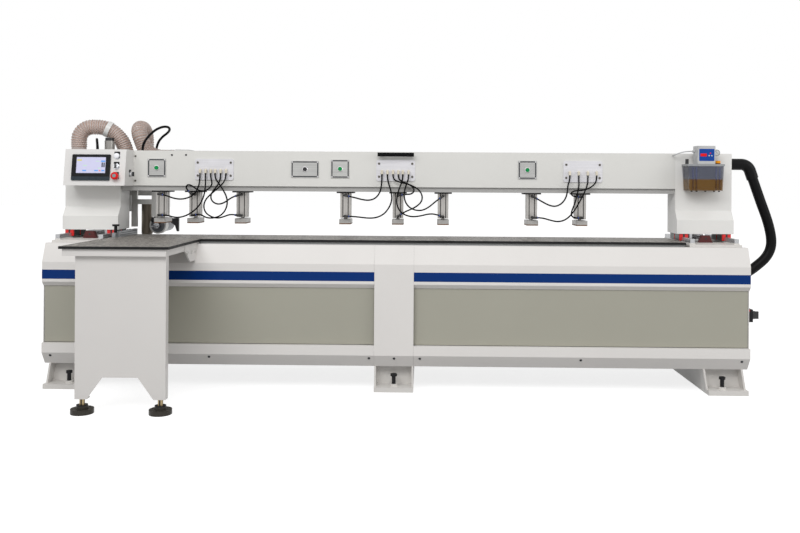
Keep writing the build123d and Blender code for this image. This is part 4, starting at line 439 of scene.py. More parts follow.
def rib_tree():
    """A hose along a curve: plain cuffs, then a swell at every rib, marked in the attribute rib."""
    tree, given = new_group(
        "ribbed_hose", "GeometryNodeTree", ("Line", "INPUT", "Geometry"),
        ("Crest", "INPUT", "Float", 0.0445), ("Valley", "INPUT", "Float", 0.0415),
        ("Pitch", "INPUT", "Float", 0.012), ("Cuff", "INPUT", "Float", 0.089),
        ("Finish", "INPUT", "Material"), ("Hose", "OUTPUT", "Geometry"),
    )
    work = partial(calculate, tree)
    steps = {"Curve": given["Line"], "Length": work("DIVIDE", given["Pitch"], 8.0)}
    line = add_node(tree, "GeometryNodeResampleCurve", steps, mode="LENGTH")
    along = add_node(tree, "GeometryNodeSplineParameter").outputs["Length"]
    whole = add_node(tree, "GeometryNodeSplineLength").outputs["Length"]
    phase = work("DIVIDE", work("SUBTRACT", along, given["Cuff"]), given["Pitch"])
    wave = work("COSINE", work("MULTIPLY", phase, 2 * math.pi))
    swell = work("SUBTRACT", 0.5, work("MULTIPLY", wave, 0.5))
    past_start = work("GREATER_THAN", along, given["Cuff"])
    before_end = work("LESS_THAN", along, work("SUBTRACT", whole, given["Cuff"]))
    rib = work("MULTIPLY", swell, work("MULTIPLY", past_start, before_end))
    rise = work("SUBTRACT", given["Crest"], given["Valley"])
    radius = work("ADD", given["Valley"], work("MULTIPLY", rib, rise))
    marks = {"Geometry": line.outputs[0], "Name": "rib", "Value": rib}
    marked = add_node(tree, "GeometryNodeStoreNamedAttribute", marks)
    circle = add_node(tree, "GeometryNodeCurvePrimitiveCircle", {"Resolution": 40, "Radius": 1.0})
    wall = add_node(tree, "GeometryNodeCurveToMesh", {
        "Curve": marked.outputs[0], "Profile Curve": circle.outputs["Curve"],
        "Scale": radius, "Fill Caps": True,
    })
    return close_tree(tree, wall, given, "Hose")


def use_tree(holder, tree, values):
    """Put a node tree on an object as its modifier, with its inputs set by name."""
    modifier = holder.modifiers.new(tree.name, "NODES")
    modifier.node_group = tree
    sockets = {item.name: item.identifier for item in tree.interface.items_tree if item.in_out == "INPUT"}
    for label, value in values.items():
        modifier[sockets[label]] = value


def clear_rib_material():
    """Clear pinkish plastic, with copper-coloured wire showing at the top of each rib."""
    material = plastic("dust_hose_clear", (197, 183, 177), 0.22, bump=0.03)
    tree = material.node_tree
    shader = tree.nodes["Principled BSDF"]
    rib = add_node(tree, "ShaderNodeAttribute", attribute_name="rib").outputs["Fac"]
    plain_colour = shader.inputs["Base Color"].links[0].from_socket
    tint = mix_colours(tree, remap(tree, rib, 0.65, 0.95), plain_colour, ink(184, 147, 127))
    set_inputs(tree, shader, {"Base Color": tint, "Transmission Weight": 0.35})
    return material


def join_loops(shape, loops):
    """Bridge each loop of points to the next; a loop may be one point, as at the tip of a cone."""
    for near, far in zip(loops, loops[1:]):
        for index in range(max(len(near), len(far))):
            after = index + 1
            near_edge = near[index % len(near)], near[after % len(near)]
            far_edge = far[after % len(far)], far[index % len(far)]
            shape.faces.new(tuple(dict.fromkeys(near_edge + far_edge)))


def add_turned(shape, origin, axis, profile, segments=32):
    """A turned shape about an axis, from (distance, radius) points. A profile starts and ends on the
    axis, or comes back to its first point to make a ring."""
    axis = axis.normalized()
    side = axis.orthogonal().normalized()
    other = axis.cross(side)
    closed = profile[0] == profile[-1]
    rings = []
    for along, radius in profile[:-1] if closed else profile:
        count = segments if radius > 0 else 1
        ring = []
        for step in range(count):
            angle = 2 * math.pi * step / count
            spoke = side * math.cos(angle) + other * math.sin(angle)
            ring.append(shape.verts.new(origin + axis * along + spoke * radius))
        rings.append(ring)
    join_loops(shape, rings + rings[:1] if closed else rings)


def place_piece(name, shape, material, body):
    """Turn a finished shape into a piece that rides on a body."""
    mesh = bpy.data.meshes.new(name)
    shape.to_mesh(mesh)
    shape.free()
    mesh.shade_smooth()
    mesh.set_sharp_from_angle(angle=math.radians(35))
    mesh.materials.append(material)
    piece = put_in_scene(name, mesh)
    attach(piece, body)
    return piece


def turned_piece(name, runs, profile, material, body, segments=32):
    """One piece of like turned shapes, one for each place and axis."""
    shape = bmesh.new()
    for place, axis in runs:
        add_turned(shape, place, axis, profile, segments)
    return place_piece(name, shape, material, body)


ribbed_hose = rib_tree()
dust_hose_clear = clear_rib_material()
dust_hose_diameter = 0.089
dust_routes = [
    [(-1.852, 0.228, 1.17), (-1.852, 0.228, 1.378), (-1.688, 0.262, 1.378), (-1.595, 0.276, 1.275),
     (-1.595, 0.276, 1.13)],
    [(-1.292, 0.238, 1.207), (-1.455, 0.238, 1.207), (-1.522, 0.238, 1.378), (-1.522, 0.416, 1.378),
     (-1.522, 0.416, 1.14)],
]
dust_lengths = (0.6145, 0.676)
hose_segments = 40
clip_width = 0.009
clip_inset = 0.022
clip_profile = [
    (0, 0.0417), (0, 0.0424), (0.0007, 0.0430), (clip_width - 0.0007, 0.0430), (clip_width, 0.0424),
    (clip_width, 0.0417), (0, 0.0417),
]
clip_steel = plastic("clip_steel", (196, 197, 199), 0.25, 0.9, bump=0.03)
for number, (route, length) in enumerate(zip(dust_routes, dust_lengths), 1):
    line = route_curve(f"dust_line_{number}", bent_line(route), 0, "POLY")
    use_tree(line, ribbed_hose, {"Crest": dust_hose_diameter / 2, "Finish": dust_hose_clear})
    hose = plain_mesh(line, f"dust_hose_{number}")
    hose.data.shade_smooth()
    clip_runs = []
    for end, inner in ((route[0], route[1]), (route[-1], route[-2])):
        run = (Vector(inner) - Vector(end)).normalized()
        clip_runs.append((Vector(end) + run * clip_inset, run))
    clip = turned_piece(
        f"hose_clips_{number}", clip_runs, clip_profile, clip_steel, "carriage", hose_segments
    )
    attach(hose, "carriage")
    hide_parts("carriage_hoses")
sleeve_profile = [(-0.013, 0.0454), (-0.013, 0.0470), (0.013, 0.0470), (0.013, 0.0454), (-0.013, 0.0454)]
arch = bent_line(dust_routes[0])
second_bend = 1 + (arc_steps + 1) + arc_steps // 2
sleeve_run = (arch[second_bend], arch[second_bend + 1] - arch[second_bend - 1])
sleeve_white = plastic("sleeve_white", (226, 226, 224), 0.35)
turned_piece(
    "hose_sleeve", [sleeve_run], sleeve_profile, sleeve_white, "carriage", hose_segments
)

# Carriage cables: two black rubber cables, 14 mm outside, from glands on the carriage plate
# back to the dust manifold, standing up in free loops.
cable_diameter = 0.014
cable_routes = [
    [(-1.708, 0.133, 1.24), (-1.708, 0.133, 1.262), (-1.72, 0.158, 1.292), (-1.74, 0.205, 1.309),
     (-1.757, 0.25, 1.3), (-1.763, 0.277, 1.264), (-1.764, 0.285, 1.216), (-1.764, 0.285, 1.17)],
    [(-1.45, 0.133, 1.24), (-1.45, 0.133, 1.27), (-1.427, 0.14, 1.314), (-1.39, 0.152, 1.355),
     (-1.352, 0.172, 1.378), (-1.326, 0.205, 1.38), (-1.328, 0.245, 1.366), (-1.355, 0.285, 1.348),
     (-1.395, 0.322, 1.33), (-1.432, 0.356, 1.3), (-1.454, 0.385, 1.255), (-1.46, 0.4, 1.196),
     (-1.46, 0.4, 1.14)],
]
cable_lengths = (0.300, 0.605)
for number, (route, length) in enumerate(zip(cable_routes, cable_lengths), 1):
    cable = route_curve(f"carriage_cable_{number}", route, cable_diameter / 2, roundness=6)
    cable.data.materials.append(hose_black)
    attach(cable, "carriage")
    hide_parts("carriage_hoses")


# Bed frame: welded steel bulkheads, beams and sole bars, sprayed grey, hidden by the covers on
# every side and open to view only from above, behind the table.
def sprayed_effect():
    """Powder coat: fine orange peel, faint clouds in the tone, and wiped patches in the shine."""
    group, given, place = effect_group("sprayed_paint", ("Peel", "INPUT", "Float", 520.0))
    cloud = noise(group, place, 1.6, 5.0)
    upright = add_node(group, "ShaderNodeMapping", {"Vector": place, "Scale": (9.0, 9.0, 1.2)}).outputs[0]
    wiped = noise(group, upright, 1.0, 6.0)
    peel = noise(group, place, given["Peel"])
    return close_effect(group, given, vary(group, cloud, 0.985, 0.03), vary(group, wiped, 0.0, 0.09), peel)


paint = partial(finish, sprayed_effect())


def dress(node, material):
    """Give a solid of the frame its finish."""
    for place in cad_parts[node].material_slots:
        place.material = material


dress("bed_frame", paint("bed_frame_grey", (150, 152, 152), 0.45))

# Bed covers: 3 mm sheet steel folded on a press brake, powder coated warm white and screwed
# on, with one blue stripe sprayed along the band of the upper front covers.
cover_white = (228, 225, 222)
stripe_blue = (2, 48, 114)
stripe_low_z, stripe_high_z = 0.564, 0.611
stripe_marks = []
for left_x, right_x in ((-1.801, -0.1005), (0.1005, 1.801)):
    stripe_low, stripe_high = (left_x, -0.353, stripe_low_z), (right_x, -0.3475, stripe_high_z)
    stripe_marks.append((stripe_low, stripe_high, stripe_blue, 0.34, 0.0))
dress("front_covers", paint("front_cover_white", cover_white, 0.38, shine=0.12, marks=stripe_marks))
dress("outer_covers", paint("outer_cover_white", cover_white, 0.4))
dress("front_panels", paint("front_panel_grey", (163, 161, 148), 0.42))

# Feet: welded box frames in the cover's white on thick sole plates, with black levelling bolts
# through them, and studs on round pads under the leg of the extension.
dress("foot_frames", paint("foot_white", (216, 213, 209), 0.42))


def brushed_effect():
    """Ground or drawn metal: fine lines along one direction, in tone, shine and height."""
    group, given, place = effect_group("brushed_metal", ("Grain", "INPUT", "Vector", (4.0, 260.0, 260.0)))
    drawn = add_node(group, "ShaderNodeMapping", {"Vector": place, "Scale": given["Grain"]}).outputs[0]
    lines = noise(group, drawn, 1.0, 4.0)
    stain = noise(group, place, 11.0, 4.0)
    shade = calculate(group, "MULTIPLY", vary(group, lines, 0.97, 0.1), vary(group, stain, 1.0, 0.06))
    return close_effect(group, given, shade, vary(group, lines, 0.0, 0.08), lines)


metal = partial(finish, brushed_effect())
along_x, along_y, along_z = (4.0, 320.0, 320.0), (320.0, 4.0, 320.0), (320.0, 320.0, 4.0)
pad_top_z = 0.036
foot_marks = []
for x in (-1.413, -1.052):
    stud_low, stud_high = (x - 0.0115, -0.7915, pad_top_z), (x + 0.0115, -0.7685, 0.12)
    foot_marks.append((stud_low, stud_high, (172, 154, 118), 0.38, 0.8))
    pad_low, pad_high = (x - 0.07, -0.85, -0.01), (x + 0.07, -0.71, pad_top_z)
    foot_marks.append((pad_low, pad_high, (58, 55, 50), 0.4, 0.2))
levelling_steel = metal(
    "levelling_steel", (30, 30, 32), 0.42, 0.3, grain=along_z, marks=foot_marks, shine=0.2
)
dress("levelling_feet", levelling_steel)


# Worktable: a steel top covered with a speckled grey laminate, edged with black plastic strip,
# and a matching extension on a folded steel leg in front of its left end.
def laminate():
    """Speckled laminate: mottled brown-grey grains with darker flecks."""
    material, tree, shader = new_material("table_laminate")
    place = add_node(tree, "ShaderNodeTexCoord").outputs["Object"]
    grains = noise(tree, place, 62.0, 8.0, 0.75)
    flecks = add_node(tree, "ShaderNodeTexVoronoi", {"Vector": place, "Scale": 140.0}).outputs["Color"]
    base = mix_colours(tree, remap(tree, grains, 0.41, 0.59), ink(80, 75, 70), ink(164, 159, 152))
    chosen = calculate(tree, "GREATER_THAN", flecks, 0.72)
    bumps = add_node(tree, "ShaderNodeBump", {"Height": grains, "Strength": 0.2, "Distance": 0.0005})
    set_inputs(tree, shader, {
        "Base Color": mix_colours(tree, chosen, base, ink(54, 51, 48)),
        "Roughness": vary(tree, grains, 0.5, 0.1), "Normal": bumps.outputs["Normal"],
    })
    return material


table_laminate = laminate()
dress("worktable_top", table_laminate)
dress("extension_top", table_laminate)
dress("table_edges", plastic("edging_black", (18, 18, 19), 0.5, shine=0.2))
dress("extension_support", paint("leg_white", (216, 213, 210), 0.4))

# Side fence: a drawn aluminium bar with a slot along its top and two grooves along its side, held
# by a clamp block and a black fluted knob that is turned by hand.
# The two grooves along the side of the bar are painted dark grey: painted shade in the grooves.
fence_groove_shade = []
for low_z in (0.7775, 0.7885):
    groove_low, groove_high = (-1.4606, -0.19, low_z), (-1.4594, 0.09, low_z + 0.003)
    fence_groove_shade.append((groove_low, groove_high, (62, 64, 68), 0.5, 0.3))
fence_aluminium = metal("fence_aluminium", (146, 148, 150), 0.32, 0.7, grain=along_y, marks=fence_groove_shade)
dress("side_fence", fence_aluminium)
dress("fence_knob", plastic("knob_black", (18, 18, 20), 0.4, shine=0.2))

# Cross slide: ground steel rails on machined beds, dark slider blocks with red end seals, and
# ball screws in dark red bearing blocks, each turned by a black motor.
dress("rail_beds", paint("rail_bed_white", (218, 215, 211), 0.4))
dress("y_guide_rails", metal("rail_steel", (186, 187, 189), 0.24, 0.6, grain=along_y))


def box_part(node, margin=0.01, **sides):
    """The low and high corner of a solid's box, grown by a margin, with named sides put elsewhere,
    such as low_z or high_x."""
    low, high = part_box(node)
    spare = Vector((margin, margin, margin))
    corners = {"low": low - spare, "high": high + spare}
    for side, place in sides.items():
        end, axis = side.split("_")
        setattr(corners[end], axis, place)
    return corners["low"], corners["high"]


seal_spans = ((-0.0910, -0.0855), (-0.0096, 0.0046), (0.0765, 0.0830))
seal_marks = []
for near_y, far_y in seal_spans:
    seal_box = box_part("y_slider_blocks", low_y=near_y, high_y=far_y)
    seal_marks.append((*seal_box, (214, 38, 36), 0.4, 0.0))
for x in (-1.771, -1.543, 1.543, 1.771):
    nipple_box = box_part("y_slider_blocks", low_x=x - 0.005, high_x=x + 0.005, high_y=-0.0850)
    seal_marks.append((*nipple_box, (40, 30, 30), 0.5, 0.0))
dress("y_slider_blocks", metal("slider_dark", (58, 64, 60), 0.35, 0.6, marks=seal_marks))
bearing_back_y, motor_front_y = -0.06, 0.2245
# The bearing blocks are dark red paint made darker still: partly their own colour, partly painted shade for
# the shade under the columns.
drive_marks = [
    (*box_part("y_drive_units", high_y=bearing_back_y), (76, 13, 12), 0.5, 0.0),
    (*box_part("y_drive_units", low_y=motor_front_y), (34, 34, 37), 0.42, 0.1),
]
dress("y_drive_units", paint("drive_unit", (140, 140, 142), 0.4, 0.4, marks=drive_marks))
# The front ends of the screws and nuts are painted dark: painted shade where they sit under the columns.
screw_end_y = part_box("y_screw_left")[0].y + 0.03
screw_end_shade_marks = [(*box_part("y_drive_units", high_y=screw_end_y), (58, 54, 52), 0.5, 0.4)]
screw_steel = metal(
    "ball_screw_steel", (190, 190, 192), 0.25, 0.95, grain=along_x, marks=screw_end_shade_marks
)
for node in ("y_screw_left", "y_screw_right", "screw_nuts"):
    dress(node, screw_steel)

# Right end of the bed: a black gland for the conduit and the main switch, a black body with a
# red edge on top and a glossy black knob that is turned a quarter.
switch_marks = [((1.799, -0.32, 0.422), (1.8125, -0.23, 0.44), (200, 30, 34), 0.35, 0.0)]
dress("base_end_fittings", plastic("end_fitting_black", (20, 20, 22), 0.42, shine=0.2, marks=switch_marks))
dress("main_switch_knob", plastic("main_switch_black", (20, 20, 21), 0.25))

# Gantry: two folded steel columns, powder coated white, and a grey steel box beam with a folded
# white cover over its front and top.
dress("columns", paint("column_white", (230, 229, 226), 0.38))
dress("beam_tube", paint("beam_grey", (172, 171, 169), 0.42))
dress("beam_cover", paint("beam_cover_white", (221, 220, 216), 0.38))

# Control box: a folded white case with a sloping front, chromed switch rings, and a small black
# plate behind each switch.
to_right = Vector((1, 0, 0))
panel_origin = Vector((-1.761, -0.196, 1.041))
panel_upward = Vector((0, 0.1536, 0.98813)).normalized()
panel_normal = to_right.cross(panel_upward)
switch_u = 0.278
switch_heights = {"estop": 0.049, "selector": 0.104, "white": 0.159}
side_switch = Vector((-1.435, -0.112, 1.103))


def on_panel(u, v, w=0.0):
    """A place on the sloping panel, from its lower left corner."""
    return panel_origin + to_right * u + panel_upward * v + panel_normal * w


ring_lift = 0.003
ring_places = [
    (on_panel(switch_u, height, ring_lift), Vector((0.0158, 0.0095, 0.0158)))
    for height in switch_heights.values()
]
ring_places.append((side_switch + to_right * ring_lift, Vector((0.0052, 0.0158, 0.0158))))
ring_marks = [
    (middle - reach, middle + reach, (205, 207, 210), 0.16, 0.95) for middle, reach in ring_places
]
dress("control_box", paint("control_box_white", (224, 222, 220), 0.36, marks=ring_marks))


def rounded_outline(width, height, corner, steps=5):
    """The points of a rectangle with rounded corners, counter-clockwise."""
    points = []
    for quarter, (side, end) in enumerate(((1, 1), (-1, 1), (-1, -1), (1, -1))):
        for step in range(steps + 1):
            angle = math.pi / 2 * (quarter + step / steps)
            x = side * (width / 2 - corner) + corner * math.cos(angle)
            y = end * (height / 2 - corner) + corner * math.sin(angle)
            points.append((x, y))
    return points


def close_stack(shape, loops):
    """A closed shape from loops of points, one above the other."""
    shape.faces.new(loops[0][::-1])
    shape.faces.new(loops[-1])
    join_loops(shape, loops)


def add_plate(shape, origin, across, upward, width, height, depth, corner, edge=0.0005):
    """A plate with rounded corners and a broken front edge; origin is the middle of its back."""
    out = across.cross(upward)
    loops = []
    for inset, lift in ((0, 0), (0, depth - edge), (edge, depth)):
        outline = rounded_outline(width - 2 * inset, height - 2 * inset, corner - inset)
        loops.append([shape.verts.new(origin + across * x + upward * y + out * lift) for x, y in outline])
    close_stack(shape, loops)


nameplate_size = {"width": 0.030, "height": 0.034, "depth": 0.0016, "corner": 0.003}
nameplate_rise = 0.007
nameplates = bmesh.new()
for height in switch_heights.values():
    plate_place = on_panel(switch_u, height + nameplate_rise)
    add_plate(nameplates, plate_place, to_right, panel_upward, **nameplate_size)
add_plate(nameplates, side_switch + to_top * nameplate_rise, Vector((0, 1, 0)), to_top, **nameplate_size)
nameplate_black = plastic("nameplate_black", (18, 18, 20), 0.4, shine=0.2)
place_piece("switch_nameplates", nameplates, nameplate_black, "gantry")

# Touch screen: a glossy black bezel with a grey-blue strip below the glass, and a lit display
# that shows a plain page of blocks.
strip_top_z = 1.0885
screen_marks = [(*box_part("touch_screen", high_z=strip_top_z), (40, 50, 57), 0.3, 0.0)]
dress("touch_screen", plastic("screen_bezel", (14, 15, 18), 0.22, bump=0.02, shine=0.2, marks=screen_marks))
glass_width, glass_height = 0.156, 0.086
glass_left_u, glass_low_v = 0.144 - glass_width / 2, 0.1085 - glass_height / 2
glass_lift = 0.0066
block_lift = 0.0001
# Each block of the page, in millimetres from the lower left of the glass: left, low, width, height, ink.
page_blocks = [
    (0, 0, 156, 86, (204, 204, 232)),
    (3, 66, 25, 7, (216, 208, 96)),
    (131, 60, 22, 8, (90, 158, 236)),
    (134, 32, 8, 25, (76, 80, 98)),
    (144, 32, 8, 25, (92, 96, 112)),
    (102, 62, 20, 4, (200, 226, 212)),
    (36, 38, 20, 5, (196, 226, 206)),
    (116, 24, 12, 5, (192, 226, 208)),
    (34, 10, 20, 7, (98, 162, 234)),
    (97, 10, 20, 7, (98, 162, 234)),
    (121, 10, 10, 7, (226, 136, 132)),
    (135, 10, 17, 7, (98, 162, 234)),
]
for column in range(5):
    page_blocks.append((14 + column * 20, 48, 1, 22 if column else 14, (206, 206, 230)))
display_mesh = bpy.data.meshes.new("screen_display")
display_places, display_faces, display_inks = [], [], []
for layer, (left, low, width, height, block_ink) in enumerate(page_blocks):
    first = len(display_places)
    for x, y in ((left, low), (left + width, low), (left + width, low + height), (left, low + height)):
        lift = glass_lift + (block_lift if layer else 0)
        display_places.append(on_panel(glass_left_u + x / 1000, glass_low_v + y / 1000, lift))
    display_faces.append((first, first + 1, first + 2, first + 3))
    display_inks += ink(*block_ink) * 4
display_mesh.from_pydata(display_places, [], display_faces)
display_mesh.attributes.new("page", "FLOAT_COLOR", "CORNER").data.foreach_set("color", display_inks)
display_lit = plastic("display_lit", (255, 255, 255), 0.12, bump=0.0)
display_tree = display_lit.node_tree
page = add_node(display_tree, "ShaderNodeAttribute", attribute_name="page").outputs["Color"]
set_inputs(display_tree, display_tree.nodes["Principled BSDF"], {
    "Base Color": page, "Emission Color": page, "Emission Strength": 0.1,
})
display_mesh.materials.append(display_lit)
display = put_in_scene("screen_display", display_mesh)
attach(display, "gantry")

# Switches on the box: white push button, two chromed selectors with black levers, and a red
# emergency stop with a grey disc on its mushroom head.
lens_white = plastic("button_white", (240, 241, 246), 0.25)
dress("white_button", lens_white)
lens_profile = [
    (0, 0), (0, 0.0138), (0.0008, 0.0145), (0.0030, 0.0143), (0.0048, 0.0122), (0.0060, 0.0085),
    (0.0065, 0.0045), (0.0066, 0),
]
lens_run = (on_panel(switch_u, switch_heights["white"], 0.0086), panel_normal)
turned_piece("white_lens", [lens_run], lens_profile, lens_white, "white_button_body")
lever_boxes = {
    "selector_front": box_part("selector_front", high_y=-0.1946),
    "selector_side": box_part("selector_side", low_x=-1.4222),
}
for node, lever_box in lever_boxes.items():
    lever_mark = (*lever_box, (18, 18, 20), 0.3, 0.0)
    dress(node, plastic(node + "_chrome", (222, 223, 226), 0.2, 0.8, marks=[lever_mark]))
dress("estop_button", plastic("estop_red", (214, 14, 18), 0.3, shine=0.2))
disc_profile = [(0, 0), (0, 0.0095), (0.0006, 0.0095), (0.001, 0.009), (0.001, 0)]
disc_run = (on_panel(switch_u, switch_heights["estop"], 0.028), panel_normal)
estop_grey = plastic("estop_disc_grey", (120, 138, 140), 0.4)
turned_piece("estop_disc", [disc_run], disc_profile, estop_grey, "estop_button_body")

# Plates on the beam: anodised plates behind the buttons, each with a dark border, and three larger
# plates that carry the rows of air elbows.
manifold_xs = (-0.992, -0.005, 1.007)
manifold_marks = [
    ((x - 0.115, -0.07, 1.04), (x + 0.115, -0.05, 1.23), (222, 221, 225), 0.4, 0.1) for x in manifold_xs
]
plate_grey = metal("plate_grey", (181, 181, 179), 0.4, 0.3, grain=along_x, bump=0.05, marks=manifold_marks)
dress("beam_plates", plate_grey)


def add_frame(shape, origin, across, upward, width, height, border, depth, corner):
    """A flat frame with rounded corners, standing off a plane."""
    out = across.cross(upward)
    loops = []
    for inset, lift in ((0, 0), (0, depth), (border, depth), (border, 0)):
        outline = rounded_outline(width - 2 * inset, height - 2 * inset, corner - inset * 0.6)
        loops.append([shape.verts.new(origin + across * x + upward * y + out * lift) for x, y in outline])
    join_loops(shape, loops + loops[:1])


plate_front_y = -0.061
# Each plate with a button: the middle of its front, its width and its height inside the bare rim.
button_plates = [(Vector((x, plate_front_y, 1.139)), 0.094, 0.094) for x in (-1.307, -0.307, 0.708)]
button_plates.append((Vector((-0.498, plate_front_y, 1.136)), 0.145, 0.085))
border_depth = 0.0006
border_size = {"border": 0.006, "depth": border_depth, "corner": 0.009}
borders = bmesh.new()
for middle, width, height in button_plates:
    add_frame(borders, middle, to_right, to_top, width, height, **border_size)
border_dark = plastic("plate_border_dark", (34, 35, 40), 0.45)
place_piece("plate_borders", borders, border_dark, "gantry")

# Buttons on the beam: three green push buttons that call the presses and a black one, each in
# a chromed ring on its plate.
to_front = Vector((0, -1, 0))
button_green = plastic("button_green", (8, 138, 72), 0.3, shine=0.2)
for number in (1, 2, 3):
    dress(f"green_button_{number}", button_green)
dress("black_button", plastic("button_black", (14, 14, 16), 0.3))
ring_profile = [(0, 0.0113), (0, 0.0150), (0.002, 0.0145), (0.003, 0.0132), (0.003, 0.0113), (0, 0.0113)]
ring_chrome = plastic("ring_chrome", (222, 220, 222), 0.2, 0.85, bump=0.02)
ring_runs = [(middle, to_front) for middle, _, _ in button_plates]
turned_piece("button_rings", ring_runs, ring_profile, ring_chrome, "gantry")

# Handle and air elbows: a black moulded pull bar on the beam, cream elbows in the manifolds,
# and black elbows with blue collars in the ports of the cylinders.
dress("top_handle", plastic("handle_black", (5, 5, 6), 0.5, shine=0.08))
ports_top_z = 1.05
port_marks = [(*box_part("air_fittings", high_z=ports_top_z), (12, 12, 13), 0.4, 0.0)]
dress("air_fittings", plastic("elbow_cream", (221, 213, 195), 0.4, marks=port_marks))
collar_profile = [
    (-0.004, 0.0041), (-0.004, 0.0052), (-0.003, 0.0058), (0, 0.0058), (0, 0.0041), (-0.004, 0.0041),
]
collar_runs = [(Vector(route[-1]), Vector(route[-1]) - Vector(route[-2])) for route in air_routes]
collar_blue = plastic("collar_blue", (40, 70, 150), 0.35)
small_segments = 20
turned_piece("hose_collars", collar_runs, collar_profile, collar_blue, "gantry", small_segments)

# Presses: aluminium air cylinders under black mounting plates, with steel rods that carry
# aluminium feet faced with brown rubber.
mounting_low_z, barrel_top_z = 1.0068, 1.0066
# The grooves down the front of each cylinder are painted dark grey: painted shade in the grooves.
groove_shade_box = box_part("press_cylinders", low_y=-0.0187, high_y=-0.0135, high_z=barrel_top_z)
cylinder_marks = [
    (*box_part("press_cylinders", low_z=mounting_low_z), (7, 7, 8), 0.6, 0.0),
    (*groove_shade_box, (72, 70, 68), 0.6, 0.2),
]
cylinder_aluminium = metal(
    "cylinder_aluminium", (178, 175, 171), 0.34, 0.75, grain=along_z, marks=cylinder_marks, shine=0.2
)
dress("press_cylinders", cylinder_aluminium)
rubber_top_z = 0.844
for node in ("press_rods_left", "press_rods_middle", "press_rods_right"):
    rubber_mark = (*box_part(node, high_z=rubber_top_z), (116, 84, 58), 0.7, 0.0)
    dress(node, metal(node + "_aluminium", (172, 170, 167), 0.4, 0.35, marks=[rubber_mark]))

# Lubricator: a clear oil tank with amber oil, a grey lid, and a light grey pump with a blue
# panel, a chromed gauge and an orange filler cap.
lid_top_z = 1.1755
pump_marks = [
    (*box_part("lubricator_pump", low_x=1.5, high_z=lid_top_z), (146, 148, 150), 0.4, 0.0),
    ((1.6875, -0.14, 1.21), (1.74, -0.08, 1.262), (104, 106, 110), 0.25, 0.8),
    ((1.535, -0.125, lid_top_z), (1.567, -0.09, 1.21), (28, 28, 30), 0.4, 0.0),
]
dress("lubricator_pump", plastic("pump_grey", (187, 188, 189), 0.38, marks=pump_marks))
oil_top_z = 1.094
oil_box = box_part("lubricator_tank", high_z=oil_top_z)
oil_marks = [(*oil_box, (118, 80, 6), 0.1, 0.0)]
tank_clear = plastic("tank_clear", (98, 102, 118), 0.1, bump=0.02, marks=oil_marks, Alpha=0.48)
dress("lubricator_tank", tank_clear)
neck_top_z = 1.1805
cap_marks = [(*box_part("filler_cap", high_z=neck_top_z), (60, 44, 26), 0.5, 0.0)]
dress("filler_cap", plastic("cap_orange", (250, 158, 6), 0.35, shine=0.2, marks=cap_marks))

panel_size = {"width": 0.0795, "height": 0.064, "depth": 0.001, "corner": 0.003}
pump_panel = bmesh.new()
add_plate(pump_panel, Vector((1.6392, -0.159, 1.223)), to_right, to_top, **panel_size)
panel_blue = plastic("panel_blue", (14, 68, 152), 0.35, shine=0.2)
place_piece("pump_panel", pump_panel, panel_blue, "gantry")
panel_front_y = -0.160
key_profile = [(0, 0), (0, 0.0035), (0.0008, 0.0035), (0.0012, 0.003), (0.0012, 0)]
readout_size = {"width": 0.033, "height": 0.015, "depth": 0.0008, "corner": 0.001}
pump_lights = bmesh.new()
add_plate(pump_lights, Vector((1.6225, panel_front_y, 1.2225)), to_right, to_top, **readout_size)
add_turned(pump_lights, Vector((1.6575, panel_front_y, 1.232)), to_front, key_profile, small_segments)
light_red = plastic("light_red", (228, 18, 24), 0.3, shine=0.2)
place_piece("pump_lights", pump_lights, light_red, "gantry")
key_grey = plastic("key_grey", (206, 206, 204), 0.4)
key_runs = [(Vector((x, panel_front_y, 1.219)), to_front) for x in (1.651, 1.665)]
turned_piece("pump_keys", key_runs, key_profile, key_grey, "gantry", small_segments)

gauge_middle = Vector((1.706, -0.118, 1.236))
face_depth = 0.0006
face_profile = [(0, 0), (0, 0.0142), (face_depth, 0.0142), (face_depth, 0)]
turned_piece("gauge_face", [(gauge_middle, to_front)], face_profile, key_grey, "gantry")
# Each mark on the gauge: its direction, how far out its middle is, its width, its length and its depth.
gauge_strokes = []
for step in range(9):
    angle = math.radians(225 - 33.75 * step)
    gauge_strokes.append((Vector((math.cos(angle), 0, math.sin(angle))), 0.0112, 0.0009, 0.0034, 0.0002))
needle_outward = Vector((-0.64, 0, 0.768)).normalized()
gauge_strokes.append((needle_outward, 0.003, 0.0012, 0.016, 0.0004))
gauge_marks = bmesh.new()
for outward, distance, width, length, depth in gauge_strokes:
    middle = gauge_middle + to_front * face_depth + outward * distance
    across = outward.cross(to_front)
    add_plate(gauge_marks, middle, across, outward, width, length, depth, corner=0.0003, edge=0.0001)
place_piece("gauge_marks", gauge_marks, nameplate_black, "gantry")

tank_middle_x = 1.636
rib_size = {"width": 0.007, "height": 0.118, "depth": 0.0015, "corner": 0.0015}
tank_ribs = bmesh.new()
for x in (-0.070, -0.052, 0.052, 0.070):
    rib_place = Vector((tank_middle_x + x, -0.162, 1.099))
    add_plate(tank_ribs, rib_place, to_right, to_top, **rib_size)
rib_marks = [(*oil_box, (76, 42, 8), 0.2, 0.0)]
rib_clear = plastic("tank_rib_clear", (82, 88, 122), 0.15, bump=0.02, marks=rib_marks, Alpha=0.7)
place_piece("tank_ribs", tank_ribs, rib_clear, "gantry")
foot_profile = [(0, 0), (0, 0.006), (0.004, 0.005), (0.006, 0.003), (0.006, 0)]
foot_runs = [
    (Vector((tank_middle_x + x, -0.148, 1.034)), -to_top) for x in (-0.072, -0.046, 0.0, 0.046, 0.072)
]
turned_piece("tank_feet", foot_runs, foot_profile, nameplate_black, "gantry", small_segments)
oil_low_z = 1.0385
oil_back_y, oil_front_y = -0.0615, -0.1575
oil = bmesh.new()
oil_rings = []
